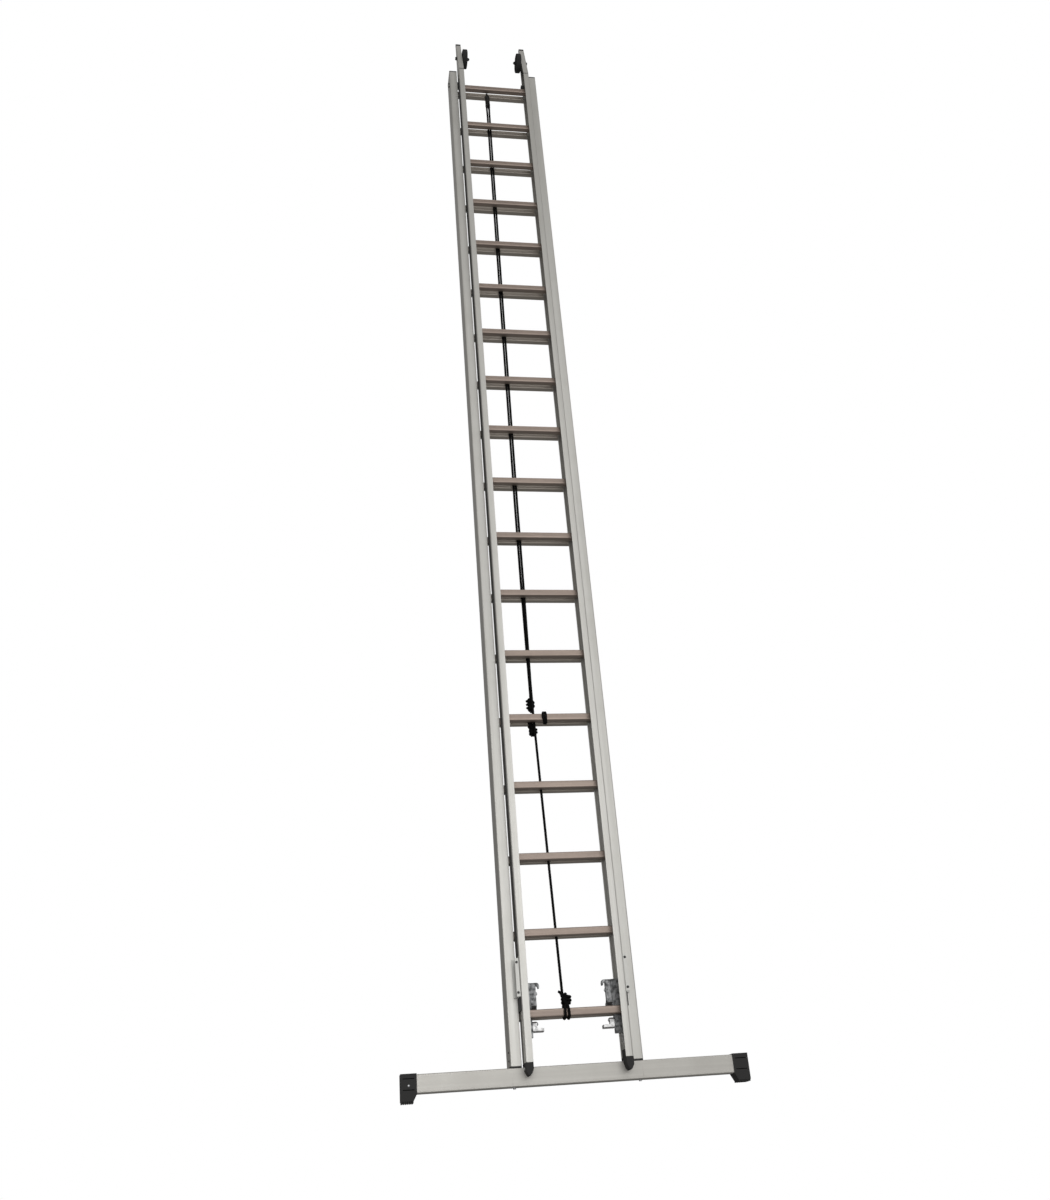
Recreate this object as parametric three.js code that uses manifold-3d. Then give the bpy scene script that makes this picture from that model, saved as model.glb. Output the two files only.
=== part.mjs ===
// Two-section rope-operated extension ladder, standing upright with the fly section lowered.
// Millimetres. X runs along the rungs, +Z up the stiles, -Y is the climbing side.
// The origin is on the ground under the middle of the ladder's box.
import * as THREE from 'three';
import { mergeVertices } from 'three/addons/utils/BufferGeometryUtils.js';
import Module from 'manifold-3d';

const wasm = await Module();
wasm.setup();

// ---- Driving dimensions -------------------------------------------------------------------

const CLEARANCE = 0.3; // gap between touching pieces
const SIDES = [{ name: 'left', sign: -1 }, { name: 'right', sign: 1 }];

// Rungs
const RUNG_COUNT = 18; // in each section
const RUNG_PITCH = 280;
const FIRST_RUNG_Z = 263; // middle of the lowest rung
const RUNG_HEIGHT = 28;
const RUNG_DEPTH = 27;
const RUNG_CORNER = 5;
const RUNG_WALL = 2;

// Ladder box
const HALF_DEPTH = 74; // from the middle plane to the fly's front or the base's back
const OVERALL_HEIGHT = 5400;

// Fly section: an inner, front section of channel stiles that open towards each other
const FLY_HALF_WIDTH = 190.5;
const FLY_FLANGE = 27;
const FLY_STILE_DEPTH = 76;
const FLY_WALL = 3;
const FLY_FRONT = -HALF_DEPTH;
const FLY_BACK = FLY_FRONT + FLY_STILE_DEPTH;
const FLY_BOTTOM = 102;
const FLY_RUNG_Y = FLY_FRONT + 43.5;
const TIP_BEVEL_START = 5120; // where the front of the fly's tip starts to slope back
const TIP_TOP_DEPTH = 14; // what is left of the stile's depth at its very top
const TIP_PLATE = 3.5; // thickness along Y of the front flange that is folded back over the slope

// Base section: an outer, rear section that stands on the crossbar
const BASE_HALF_WIDTH = 237;
const BASE_FLANGE = 40;
const BASE_STILE_DEPTH = 98;
const BASE_WALL = 3;
const BASE_BACK = HALF_DEPTH;
const BASE_FRONT = BASE_BACK - BASE_STILE_DEPTH;
const BASE_TOP = 5165;
const BASE_RUNG_Y = BASE_FRONT + 41.5;
const STILE_CORNER = 4;

// Crossbar and its two moulded feet
const BAR_BOTTOM = 29;
const BAR_TOP = 91;
const BAR_DEPTH = 50;
const BAR_WALL = 3;
const BAR_HALF_LENGTH = 600;
const BAR_CORNER = 4;
const FOOT_INNER_X = 562;
const FOOT_OUTER_X = 618;
const FOOT_TOP = 93.5;
const FOOT_WALL_Y = 4; // the foot stands this much proud of the bar's faces
const FOOT_SLANT = 12; // inner lower corner cut back

// Wall rollers at the tips of the fly
const ROLLER_RADIUS = 50;
const ROLLER_INNER_X = 136;
const ROLLER_OUTER_X = 161;
const ROLLER_Y = -24;
const ROLLER_Z = 5265;
const ROLLER_BORE = 6.3;
const ROLLER_HUB_RADIUS = 14.3;
const ROLLER_RIM = 9; // width of the step between tread and hub faces
const ROLLER_RECESS = 3;
const ROLLER_CHAMFER = 2;

// Rope and its pulley under the top rung of the base
const ROPE_RADIUS = 5;
const ROPE_SIDES = 10;
const PULLEY_X = -36;
const PULLEY_Y = -2.8;
const PULLEY_Z = 4935;
const SHEAVE_PITCH_RADIUS = 9.5;
const SHEAVE_RIM_RADIUS = 12;
const SHEAVE_HALF_WIDTH = 7;
const SHEAVE_BORE = 2.9;
const SHEAVE_TURN = THREE.MathUtils.degToRad(55); // the sheave stands askew in the narrow gap
const YOKE_PIN_RADIUS = 2.6;
const YOKE_HALF_WIDTH = 8;
const YOKE_CHEEK = 2;
const YOKE_CHAMFER = 4;
const YOKE_PLAY = 0.5; // between a cheek and the sheave, and the pin's step behind a cheek
const YOKE_BOTTOM = 4915;
const YOKE_BRIDGE_BOTTOM = 4958;
const HALF_TURN_STEPS = 12;

// Both strands lean to the left between the pulley and the knot on the fifth rung, where the
// lifting strand is drawn aside, in front of the hauling strand, before it returns.
const LIFTING_RUN = [
  [-31.5, -8, 4860], [-36.5, -7, 4300], [-43.5, -7, 3500], [-51.5, -7, 2400], [-53.5, -11.3, 2000],
  [-57, -11.3, 1540], [-56, -11.3, 1400], [-31, -8.5, 300],
];
const HAULING_RUN = [
  [-42.1, -4, 4860], [-47.1, -6, 4300], [-54.1, -6, 3500], [-62.1, -6, 2400], [-62, -1.1, 2000],
  [-60, -1.1, 1500],
];

// Guides that keep the sections together
const TOP_GUIDE_Z = [5060, 5110];
const LOWER_GUIDE_Z = [320, 452];
const LOWER_GUIDE_FACE_Y = FLY_FRONT + 8; // front of its plate, just behind the fly's front
const LOWER_GUIDE_FACE_X = 204.5;

// Automatic rung locks at the foot of the fly
const LOCK_Z = [186, 372];
const LOCK_INNER_X = 148.5;
const LOCK_OUTER_X = 187;
const LOCK_FRONT = FLY_FRONT + 58;
const LOCK_BACK = FLY_FRONT + 72.5;
const HOOK_PIN_Z = 335;
const FINGER_PIN_Z = 232;
const LOCK_PIN_Y = FLY_FRONT + 66;
const LOCK_PIN_RADIUS = 4;
const LOCK_BORE = 4.4;
const LOCK_PIN_PROUD = 2; // past the hook and the finger
const HOOK_X = [128, 148]; // the hook's column
const HOOK_FRONT = FLY_FRONT + 58.5;
const HOOK_BACK = FLY_FRONT + 75;
const HOOK_CHAMFER = 4;
const HOOK_FILLET = 8; // where the nose meets the column
const HOOK_HEEL = 12; // front edge of the column to the level seat
const NOSE_HEIGHT = 19;
const NOSE_LEVEL_END_Y = FLY_FRONT + 83; // the seat is level up to here
const NOSE_TIP_Y = FLY_FRONT + 92;
const NOSE_RISE = 3.6; // of the seat at the tip, so that the nose swings clear of the rung
const HORN_ROOT_X = 133;
const HORN_TIP_X = 114;
const HORN_INSET = 2; // the horn is this much thinner than the column, front and back
const HORN_ROOT_HEIGHT = 9;
const HORN_PROFILE = [[7, 0], [2, -4], [0, -12], [1, -20], [6, -20], [8, -12]]; // from tip and top
const FINGER_X = [108, 148]; // the tongue
const FINGER_BOSS_X = [132, 148]; // the boss on its pin
const FINGER_BOSS = 8.5;
const FINGER_DROP = 27; // from the pin to the tongue's bottom
const FINGER_THICKNESS = 12;
const FINGER_TIP_Y = FLY_FRONT + 88;
const FINGER_CHAMFER = 3;

// ---- Materials ----------------------------------------------------------------------------

const aluminium = (color) => new THREE.MeshStandardMaterial({ color, roughness: 0.42, metalness: 0.9 });
const plastic = (color) => new THREE.MeshStandardMaterial({ color, roughness: 0.6, metalness: 0 });
const STILE_ALUMINIUM = aluminium(0xb4b3ae);
const RUNG_ALUMINIUM = aluminium(0xab9d93);
const BAR_ALUMINIUM = aluminium(0xb7b5b0);
const STEEL = aluminium(0x9a9c9f);
const CAST_METAL = new THREE.MeshStandardMaterial({ color: 0x7c7d7e, roughness: 0.55, metalness: 0.8 });
const BLACK_PLASTIC = plastic(0x1d1d1d);
const BLACK_RUBBER = plastic(0x141414);
const BLACK_ROPE = new THREE.MeshStandardMaterial({ color: 0x0c0c0c, roughness: 0.95, metalness: 0 });

// ---- Geometry helpers ---------------------------------------------------------------------

const ladder = new THREE.Group();

// Adds one named piece to the ladder.
function addPiece(name, geometry, material) {
  const piece = new THREE.Mesh(geometry, material);
  piece.name = name;
  ladder.add(piece);
  return piece;
}

// A closed outline through the given corners.
function outline(points) {
  return new THREE.Shape(points.map(([a, b]) => new THREE.Vector2(a, b)));
}

// A rectangle about the origin with rounded corners.
function roundedRectangle(width, height, radius) {
  const a = width / 2 - radius;
  const b = height / 2 - radius;
  const quarter = Math.PI / 2;
  const shape = new THREE.Shape();
  shape.absarc(a, b, radius, 0, quarter);
  shape.absarc(-a, b, radius, quarter, 2 * quarter);
  shape.absarc(-a, -b, radius, 2 * quarter, 3 * quarter);
  shape.absarc(a, -b, radius, 3 * quarter, 4 * quarter);
  shape.closePath();
  return shape;
}

// Pushes an outline through a length, with no bevel.
function prism(shape, length, curveSegments = 3) {
  return new THREE.ExtrudeGeometry(shape, { depth: length, bevelEnabled: false, curveSegments });
}

// An XY outline, standing from one height to another.
function alongZ(shape, bottom, top, curveSegments) {
  return prism(shape, top - bottom, curveSegments).translate(0, 0, bottom);
}

// A YZ outline, running between two X positions.
function alongX(shape, from, to, curveSegments) {
  const turn = new THREE.Matrix4().makeBasis(
    new THREE.Vector3(0, 1, 0), new THREE.Vector3(0, 0, 1), new THREE.Vector3(1, 0, 0));
  const start = Math.min(from, to);
  return prism(shape, Math.abs(to - from), curveSegments).applyMatrix4(turn).translate(start, 0, 0);
}

// An XZ outline, running between two Y positions.
function alongY(shape, from, to, curveSegments) {
  const turn = new THREE.Matrix4().makeBasis(
    new THREE.Vector3(1, 0, 0), new THREE.Vector3(0, 0, 1), new THREE.Vector3(0, -1, 0));
  const end = Math.max(from, to);
  return prism(shape, Math.abs(to - from), curveSegments).applyMatrix4(turn).translate(0, end, 0);
}

// A round pin along X.
function pinAlongX(radius, from, to, y, z, sides = 16) {
  const pin = new THREE.CylinderGeometry(radius, radius, Math.abs(to - from), sides);
  return pin.rotateZ(Math.PI / 2).translate((from + to) / 2, y, z);
}

// A box between two corners.
function block(x, y, z) {
  const box = new THREE.BoxGeometry(Math.abs(x[1] - x[0]), y[1] - y[0], z[1] - z[0]);
  return box.translate((x[0] + x[1]) / 2, (y[0] + y[1]) / 2, (z[0] + z[1]) / 2);
}

function toSolid(geometry) {
  const bare = geometry.index ? geometry.toNonIndexed() : geometry.clone();
  bare.deleteAttribute('normal');
  bare.deleteAttribute('uv');
  const merged = mergeVertices(bare, 1e-3);
  return new wasm.Manifold(new wasm.Mesh({
    numProp: 3,
    vertProperties: merged.attributes.position.array,
    triVerts: new Uint32Array(merged.index.array),
  }));
}

function toGeometry(solid) {
  const mesh = solid.getMesh();
  const geometry = new THREE.BufferGeometry();
  geometry.setAttribute('position', new THREE.BufferAttribute(mesh.vertProperties, 3));
  geometry.setIndex(new THREE.BufferAttribute(mesh.triVerts, 1));
  const split = geometry.toNonIndexed();
  split.computeVertexNormals();
  return split;
}

function join(first, ...others) {
  return toGeometry(others.reduce((solid, other) => solid.add(toSolid(other)), toSolid(first)));
}

function cut(first, ...others) {
  return toGeometry(others.reduce((solid, other) => solid.subtract(toSolid(other)), toSolid(first)));
}

// ---- Rungs --------------------------------------------------------------------------------

// One hollow rung, open at both ends, that reaches from web to web.
function rung(halfLength, y, z) {
  const section = roundedRectangle(RUNG_DEPTH, RUNG_HEIGHT, RUNG_CORNER);
  const inside = roundedRectangle(
    RUNG_DEPTH - 2 * RUNG_WALL, RUNG_HEIGHT - 2 * RUNG_WALL, RUNG_CORNER - RUNG_WALL);
  section.holes.push(inside);
  return alongX(section, -halfLength, halfLength, 2).translate(0, y, z);
}

function addRungs(section, halfLength, y) {
  for (let i = 0; i < RUNG_COUNT; i += 1) {
    const number = String(i + 1).padStart(2, '0');
    const z = FIRST_RUNG_Z + i * RUNG_PITCH;
    addPiece(`${section}_rung_${number}`, rung(halfLength, y, z), RUNG_ALUMINIUM);
  }
}

// ---- Stiles -------------------------------------------------------------------------------

// A channel that opens towards the middle of the ladder: a web with a flange front and back.
function channel(sign, halfWidth, flange, wall, front, back) {
  const outer = halfWidth - STILE_CORNER;
  const points = [
    [halfWidth - flange, front],
    [outer, front],
    [halfWidth, front + STILE_CORNER],
    [halfWidth, back - STILE_CORNER],
    [outer, back],
    [halfWidth - flange, back],
    [halfWidth - flange, back - wall],
    [halfWidth - wall, back - wall],
    [halfWidth - wall, front + wall],
    [halfWidth - flange, front + wall],
  ];
  return outline(points.map(([x, y]) => [sign * x, y]));
}

// The fly's stile, whose tip slopes back to a narrow top under its folded front flange.
function flyStile(sign) {
  const section = channel(sign, FLY_HALF_WIDTH, FLY_FLANGE, FLY_WALL, FLY_FRONT, FLY_BACK);
  const beyond = 20;
  const topY = FLY_BACK - TIP_TOP_DEPTH;
  const slope = outline([
    [FLY_FRONT - beyond, TIP_BEVEL_START],
    [FLY_FRONT, TIP_BEVEL_START],
    [topY, OVERALL_HEIGHT + CLEARANCE],
    [FLY_FRONT - beyond, OVERALL_HEIGHT + CLEARANCE],
  ]);
  const fold = outline([
    [FLY_FRONT, TIP_BEVEL_START],
    [FLY_FRONT + TIP_PLATE, TIP_BEVEL_START],
    [topY + TIP_PLATE, OVERALL_HEIGHT],
    [topY, OVERALL_HEIGHT],
  ]);
  const inner = FLY_HALF_WIDTH - FLY_FLANGE;
  const stile = cut(
    alongZ(section, FLY_BOTTOM, OVERALL_HEIGHT),
    alongX(slope, sign * (inner - beyond), sign * (FLY_HALF_WIDTH + beyond)));
  return join(stile, alongX(fold, sign * inner, sign * (FLY_HALF_WIDTH - FLY_WALL / 2)));
}

function baseStile(sign) {
  const section = channel(sign, BASE_HALF_WIDTH, BASE_FLANGE, BASE_WALL, BASE_FRONT, BASE_BACK);
  return alongZ(section, BAR_TOP + CLEARANCE, BASE_TOP);
}

// ---- Crossbar and feet --------------------------------------------------------------------

const BAR_Y = BASE_FRONT + BAR_DEPTH / 2;
const BAR_Z = (BAR_BOTTOM + BAR_TOP) / 2;
const BAR_HEIGHT = BAR_TOP - BAR_BOTTOM;

function crossbar() {
  const section = roundedRectangle(BAR_DEPTH, BAR_HEIGHT, BAR_CORNER);
  const inside = roundedRectangle(
    BAR_DEPTH - 2 * BAR_WALL, BAR_HEIGHT - 2 * BAR_WALL, BAR_CORNER - BAR_WALL);
  section.holes.push(inside);
  return alongX(section, -BAR_HALF_LENGTH, BAR_HALF_LENGTH).translate(0, BAR_Y, BAR_Z);
}

// A moulded cap over the bar's end, reaching down to the ground as a foot.
function barFoot(sign) {
  const reach = FOOT_WALL_Y + BAR_DEPTH / 2;
  const side = outline([
    [sign * FOOT_INNER_X, FOOT_TOP],
    [sign * FOOT_OUTER_X, FOOT_TOP],
    [sign * FOOT_OUTER_X, 0],
    [sign * (FOOT_INNER_X + FOOT_SLANT), 0],
    [sign * FOOT_INNER_X, BAR_BOTTOM - 2 * CLEARANCE],
  ]);
  const body = alongY(side, BAR_Y - reach, BAR_Y + reach);
  const pocket = roundedRectangle(
    BAR_DEPTH + 2 * CLEARANCE, BAR_HEIGHT + 2 * CLEARANCE, BAR_CORNER);
  const mouth = FOOT_INNER_X - FOOT_SLANT;
  const bottom = BAR_HALF_LENGTH + CLEARANCE;
  return cut(body, alongX(pocket, sign * mouth, sign * bottom).translate(0, BAR_Y, BAR_Z));
}

// ---- Guides -------------------------------------------------------------------------------

// Reaches from the base's web, round the back flange of the fly's stile, into its channel.
function topGuide(sign) {
  const gap = 0.5;
  const lip = 6.5;
  const arm = 7;
  const web = BASE_HALF_WIDTH - BASE_WALL - CLEARANCE;
  const flangeEdge = FLY_HALF_WIDTH - FLY_FLANGE - gap;
  const hold = flangeEdge + 2 * lip;
  const behind = FLY_BACK + gap;
  const inside = FLY_BACK - FLY_WALL - gap;
  const points = [
    [web, behind],
    [web, behind + 2 * arm],
    [flangeEdge - lip, behind + arm],
    [flangeEdge - lip, inside - lip],
    [hold, inside - lip],
    [hold, inside],
    [flangeEdge, inside],
    [flangeEdge, behind],
  ];
  return alongZ(outline(points.map(([x, y]) => [sign * x, y])), ...TOP_GUIDE_Z);
}

// Bolted to the outside of the fly's stile, it grips the front flange of the base's stile.
function lowerGuide(sign) {
  const gap = 0.5;
  const plate = 5.5;
  const pad = 5;
  const spine = 3.5;
  const root = FLY_HALF_WIDTH + CLEARANCE;
  const flangeEdge = BASE_HALF_WIDTH - BASE_FLANGE - gap;
  const plateTip = flangeEdge + 14;
  const padTip = flangeEdge + 10;
  const front = BASE_FRONT - gap;
  const behind = BASE_FRONT + BASE_WALL + gap;
  const points = [
    [root, LOWER_GUIDE_FACE_Y],
    [LOWER_GUIDE_FACE_X, LOWER_GUIDE_FACE_Y],
    [LOWER_GUIDE_FACE_X, LOWER_GUIDE_FACE_Y + spine],
    [root + spine, LOWER_GUIDE_FACE_Y + spine],
    [root + spine, front - plate],
    [plateTip, front - plate],
    [plateTip, front],
    [flangeEdge, front],
    [flangeEdge, behind],
    [padTip, behind],
    [padTip, behind + pad],
    [root, behind + pad],
  ];
  return alongZ(outline(points.map(([x, y]) => [sign * x, y])), ...LOWER_GUIDE_Z);
}

// ---- Automatic rung locks -----------------------------------------------------------------

// A pin of the lock, from the casting to just past the piece that turns on it.
function lockPin(sign, tip, z) {
  const root = LOCK_INNER_X + LOCK_PIN_RADIUS;
  return pinAlongX(LOCK_PIN_RADIUS, sign * root, sign * (tip - LOCK_PIN_PROUD), LOCK_PIN_Y, z);
}

// The hole for a pin of the lock, through a piece that spans the given X range.
function lockBore(sign, [inner, outer], z) {
  const beyond = 5;
  return pinAlongX(
    LOCK_BORE, sign * (inner - beyond), sign * (outer + beyond), LOCK_PIN_Y, z);
}

// A casting inside the fly's channel, with the two pins that the hook and the finger turn on.
function lockBody(sign) {
  const shell = block(
    [sign * LOCK_INNER_X, sign * LOCK_OUTER_X], [LOCK_FRONT, LOCK_BACK], LOCK_Z);
  return join(
    shell,
    lockPin(sign, HOOK_X[0], HOOK_PIN_Z),
    lockPin(sign, FINGER_BOSS_X[0], FINGER_PIN_Z));
}

// The column hangs from its pin, with a nose that rests on the rung of the base, and a horn on top.
function lockHook(sign) {
  const seat = FIRST_RUNG_Z + RUNG_HEIGHT / 2 + 2 * CLEARANCE;
  const noseTop = seat + NOSE_HEIGHT;
  const top = LOCK_Z[1];
  const column = outline([
    [HOOK_FRONT, noseTop - HOOK_CHAMFER],
    [HOOK_FRONT + HOOK_HEEL, seat],
    [NOSE_LEVEL_END_Y, seat],
    [NOSE_TIP_Y, seat + NOSE_RISE],
    [NOSE_TIP_Y, noseTop - 2 * HOOK_CHAMFER],
    [HOOK_BACK + HOOK_CHAMFER, noseTop],
    [HOOK_BACK, noseTop + HOOK_FILLET],
    [HOOK_BACK, top - HOOK_CHAMFER],
    [HOOK_BACK - HOOK_CHAMFER, top],
    [HOOK_FRONT + HOOK_CHAMFER, top],
    [HOOK_FRONT, top - HOOK_CHAMFER],
  ]);
  const curl = HORN_PROFILE.map(([x, z]) => [sign * (HORN_TIP_X + x), top + z]);
  const root = sign * HORN_ROOT_X;
  const horn = alongY(
    outline([[root, top], ...curl, [root, top - HORN_ROOT_HEIGHT]]),
    HOOK_FRONT + HORN_INSET, HOOK_BACK - HORN_INSET);
  const body = alongX(column, sign * HOOK_X[0], sign * HOOK_X[1]);
  return cut(join(body, horn), lockBore(sign, HOOK_X, HOOK_PIN_Z));
}

// A tongue under the lowest fly rung that the base's rungs flip as they pass.
function tripFinger(sign) {
  const bottom = FINGER_PIN_Z - FINGER_DROP;
  const top = bottom + FINGER_THICKNESS;
  const front = LOCK_PIN_Y - FINGER_BOSS;
  const tongue = outline([
    [front, bottom + FINGER_CHAMFER],
    [front + FINGER_CHAMFER, bottom],
    [FINGER_TIP_Y - FINGER_CHAMFER, bottom],
    [FINGER_TIP_Y, bottom + FINGER_CHAMFER],
    [FINGER_TIP_Y, top - FINGER_CHAMFER],
    [FINGER_TIP_Y - FINGER_CHAMFER, top],
    [front, top],
  ]);
  const boss = new THREE.Shape();
  boss.moveTo(front, top - FINGER_CHAMFER);
  boss.lineTo(LOCK_PIN_Y + FINGER_BOSS, top - FINGER_CHAMFER);
  boss.lineTo(LOCK_PIN_Y + FINGER_BOSS, FINGER_PIN_Z);
  boss.absarc(LOCK_PIN_Y, FINGER_PIN_Z, FINGER_BOSS, 0, Math.PI);
  boss.closePath();
  const body = join(
    alongX(tongue, sign * FINGER_X[0], sign * FINGER_X[1]),
    alongX(boss, sign * FINGER_BOSS_X[0], sign * FINGER_BOSS_X[1], 6));
  return cut(body, lockBore(sign, FINGER_BOSS_X, FINGER_PIN_Z));
}

// ---- Wall rollers -------------------------------------------------------------------------

// A wheel with a stepped hub, turned about its axle.
function wallRoller() {
  const half = (ROLLER_OUTER_X - ROLLER_INNER_X) / 2;
  const rimInside = ROLLER_RADIUS - ROLLER_RIM;
  const hub = ROLLER_HUB_RADIUS;
  const profile = [
    [ROLLER_BORE, -half],
    [hub, -half],
    [hub, -half + ROLLER_RECESS],
    [rimInside, -half + ROLLER_RECESS],
    [rimInside, -half],
    [ROLLER_RADIUS - ROLLER_CHAMFER, -half],
    [ROLLER_RADIUS, -half + ROLLER_CHAMFER],
    [ROLLER_RADIUS, half - ROLLER_CHAMFER],
    [ROLLER_RADIUS - ROLLER_CHAMFER, half],
    [rimInside, half],
    [rimInside, half - ROLLER_RECESS],
    [hub, half - ROLLER_RECESS],
    [hub, half],
    [ROLLER_BORE, half],
    [ROLLER_BORE, -half],
  ];
  const points = profile.map(([r, h]) => new THREE.Vector2(r, h));
  return new THREE.LatheGeometry(points, 32).rotateZ(Math.PI / 2);
}

// ---- Pulley and rope ----------------------------------------------------------------------

// Turns a piece built square to the rungs to the sheave's own angle, at the pulley.
function atPulley(geometry) {
  return geometry.rotateZ(-SHEAVE_TURN).translate(PULLEY_X, PULLEY_Y, PULLEY_Z);
}

// A forged yoke that hangs from the rung: a bridge, two cheeks and the sheave's pin.
function pulleyYoke() {
  const half = SHEAVE_HALF_WIDTH + YOKE_PLAY + YOKE_CHEEK;
  const bottom = YOKE_BOTTOM - PULLEY_Z;
  const bridge = YOKE_BRIDGE_BOTTOM - PULLEY_Z;
  const rungBottom = FIRST_RUNG_Z + (RUNG_COUNT - 1) * RUNG_PITCH - RUNG_HEIGHT / 2;
  const top = rungBottom - CLEARANCE - PULLEY_Z;
  const side = outline([
    [-YOKE_HALF_WIDTH, bottom + YOKE_CHAMFER],
    [-YOKE_HALF_WIDTH + YOKE_CHAMFER, bottom],
    [YOKE_HALF_WIDTH - YOKE_CHAMFER, bottom],
    [YOKE_HALF_WIDTH, bottom + YOKE_CHAMFER],
    [YOKE_HALF_WIDTH, top],
    [-YOKE_HALF_WIDTH, top],
  ]);
  const slot = block(
    [-2 * YOKE_HALF_WIDTH, 2 * YOKE_HALF_WIDTH],
    [-half + YOKE_CHEEK, half - YOKE_CHEEK],
    [bottom - YOKE_CHAMFER, bridge]);
  const length = 2 * (half - YOKE_PLAY);
  const pin = new THREE.CylinderGeometry(YOKE_PIN_RADIUS, YOKE_PIN_RADIUS, length, 16);
  return atPulley(join(cut(alongY(side, -half, half), slot), pin));
}

function sheave() {
  const edge = SHEAVE_HALF_WIDTH;
  const groove = SHEAVE_PITCH_RADIUS - ROPE_RADIUS - CLEARANCE;
  const lip = ROPE_RADIUS + 1;
  const floor = lip / 2;
  const profile = [
    [SHEAVE_BORE, -edge],
    [SHEAVE_RIM_RADIUS, -edge],
    [SHEAVE_PITCH_RADIUS, -lip],
    [groove, -floor],
    [groove, floor],
    [SHEAVE_PITCH_RADIUS, lip],
    [SHEAVE_RIM_RADIUS, edge],
    [SHEAVE_BORE, edge],
    [SHEAVE_BORE, -edge],
  ];
  const points = profile.map(([r, h]) => new THREE.Vector2(r, h));
  return atPulley(new THREE.LatheGeometry(points, 24));
}

// A point of the rope's path round the sheave: 0 is the lifting side, PI the hauling side.
function onSheave(angle, drop = 0) {
  const across = SHEAVE_PITCH_RADIUS * Math.cos(angle);
  const x = PULLEY_X + across * Math.cos(SHEAVE_TURN);
  const y = PULLEY_Y - across * Math.sin(SHEAVE_TURN);
  const z = PULLEY_Z + SHEAVE_PITCH_RADIUS * Math.sin(angle) - drop;
  return new THREE.Vector3(x, y, z);
}

// A ten-sided tube along straight lengths between the given points.
function ropeTube(points) {
  const section = new THREE.Shape();
  for (let i = 0; i < ROPE_SIDES; i += 1) {
    const angle = (2 * Math.PI * i) / ROPE_SIDES;
    const x = ROPE_RADIUS * Math.cos(angle);
    const y = ROPE_RADIUS * Math.sin(angle);
    if (i === 0) section.moveTo(x, y);
    else section.lineTo(x, y);
  }
  section.closePath();
  const lengths = points.length - 1;
  const path = new THREE.Curve();
  path.getPoint = (t) => {
    const whole = Math.min(Math.floor(t * lengths + 1e-9), lengths - 1);
    return points[whole].clone().lerp(points[whole + 1], t * lengths - whole);
  };
  path.getPointAt = path.getPoint;
  path.getTangentAt = (t) => path.getPoint(Math.min(1, t + 1e-3))
    .sub(path.getPoint(Math.max(0, t - 1e-3))).normalize();
  return new THREE.ExtrudeGeometry(section, {
    steps: lengths, extrudePath: path, bevelEnabled: false,
  });
}

const onRun = (run) => run.map((point) => new THREE.Vector3(...point));

// The lifting strand, from the lowest rung of the fly up to the sheave.
function liftingStrand() {
  return ropeTube([onSheave(0, ROPE_RADIUS / 4), ...onRun(LIFTING_RUN)].reverse());
}

// The hauling strand: over the sheave, then down to its knot.
function haulingStrand() {
  const arc = [];
  for (let i = 0; i <= HALF_TURN_STEPS; i += 1) arc.push(onSheave((Math.PI * i) / HALF_TURN_STEPS));
  return ropeTube([...arc, ...onRun(HAULING_RUN)]);
}

// ---- Assembly -----------------------------------------------------------------------------

addRungs('base', BASE_HALF_WIDTH - BASE_WALL - CLEARANCE, BASE_RUNG_Y);
addRungs('fly', FLY_HALF_WIDTH - FLY_WALL - CLEARANCE, FLY_RUNG_Y);
addPiece('crossbar', crossbar(), BAR_ALUMINIUM);
addPiece('pulley_yoke', pulleyYoke(), BLACK_PLASTIC);
addPiece('pulley_sheave', sheave(), BLACK_PLASTIC);
addPiece('rope_lifting_strand', liftingStrand(), BLACK_ROPE);
addPiece('rope_hauling_strand', haulingStrand(), BLACK_ROPE);
for (const { name, sign } of SIDES) {
  addPiece(`base_stile_${name}`, baseStile(sign), STILE_ALUMINIUM);
  addPiece(`fly_stile_${name}`, flyStile(sign), STILE_ALUMINIUM);
  addPiece(`crossbar_foot_${name}`, barFoot(sign), BLACK_RUBBER);
  addPiece(`top_guide_${name}`, topGuide(sign), BLACK_PLASTIC);
  addPiece(`lower_guide_${name}`, lowerGuide(sign), STEEL);
  addPiece(`lock_body_${name}`, lockBody(sign), CAST_METAL);
  addPiece(`lock_hook_${name}`, lockHook(sign), CAST_METAL);
  addPiece(`trip_finger_${name}`, tripFinger(sign), CAST_METAL);
  const roller = addPiece(`wall_roller_${name}`, wallRoller(), BLACK_RUBBER);
  roller.position.set((sign * (ROLLER_INNER_X + ROLLER_OUTER_X)) / 2, ROLLER_Y, ROLLER_Z);
}

export default ladder;
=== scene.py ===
"""Looks of a two-section extension ladder with a hoisting rope, built round its CAD frame."""

import logging
import math
from dataclasses import dataclass, field
from enum import Enum
from typing import ClassVar, Sequence

import bmesh
import bpy
import numpy as np
from mathutils import Matrix, Vector


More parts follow.
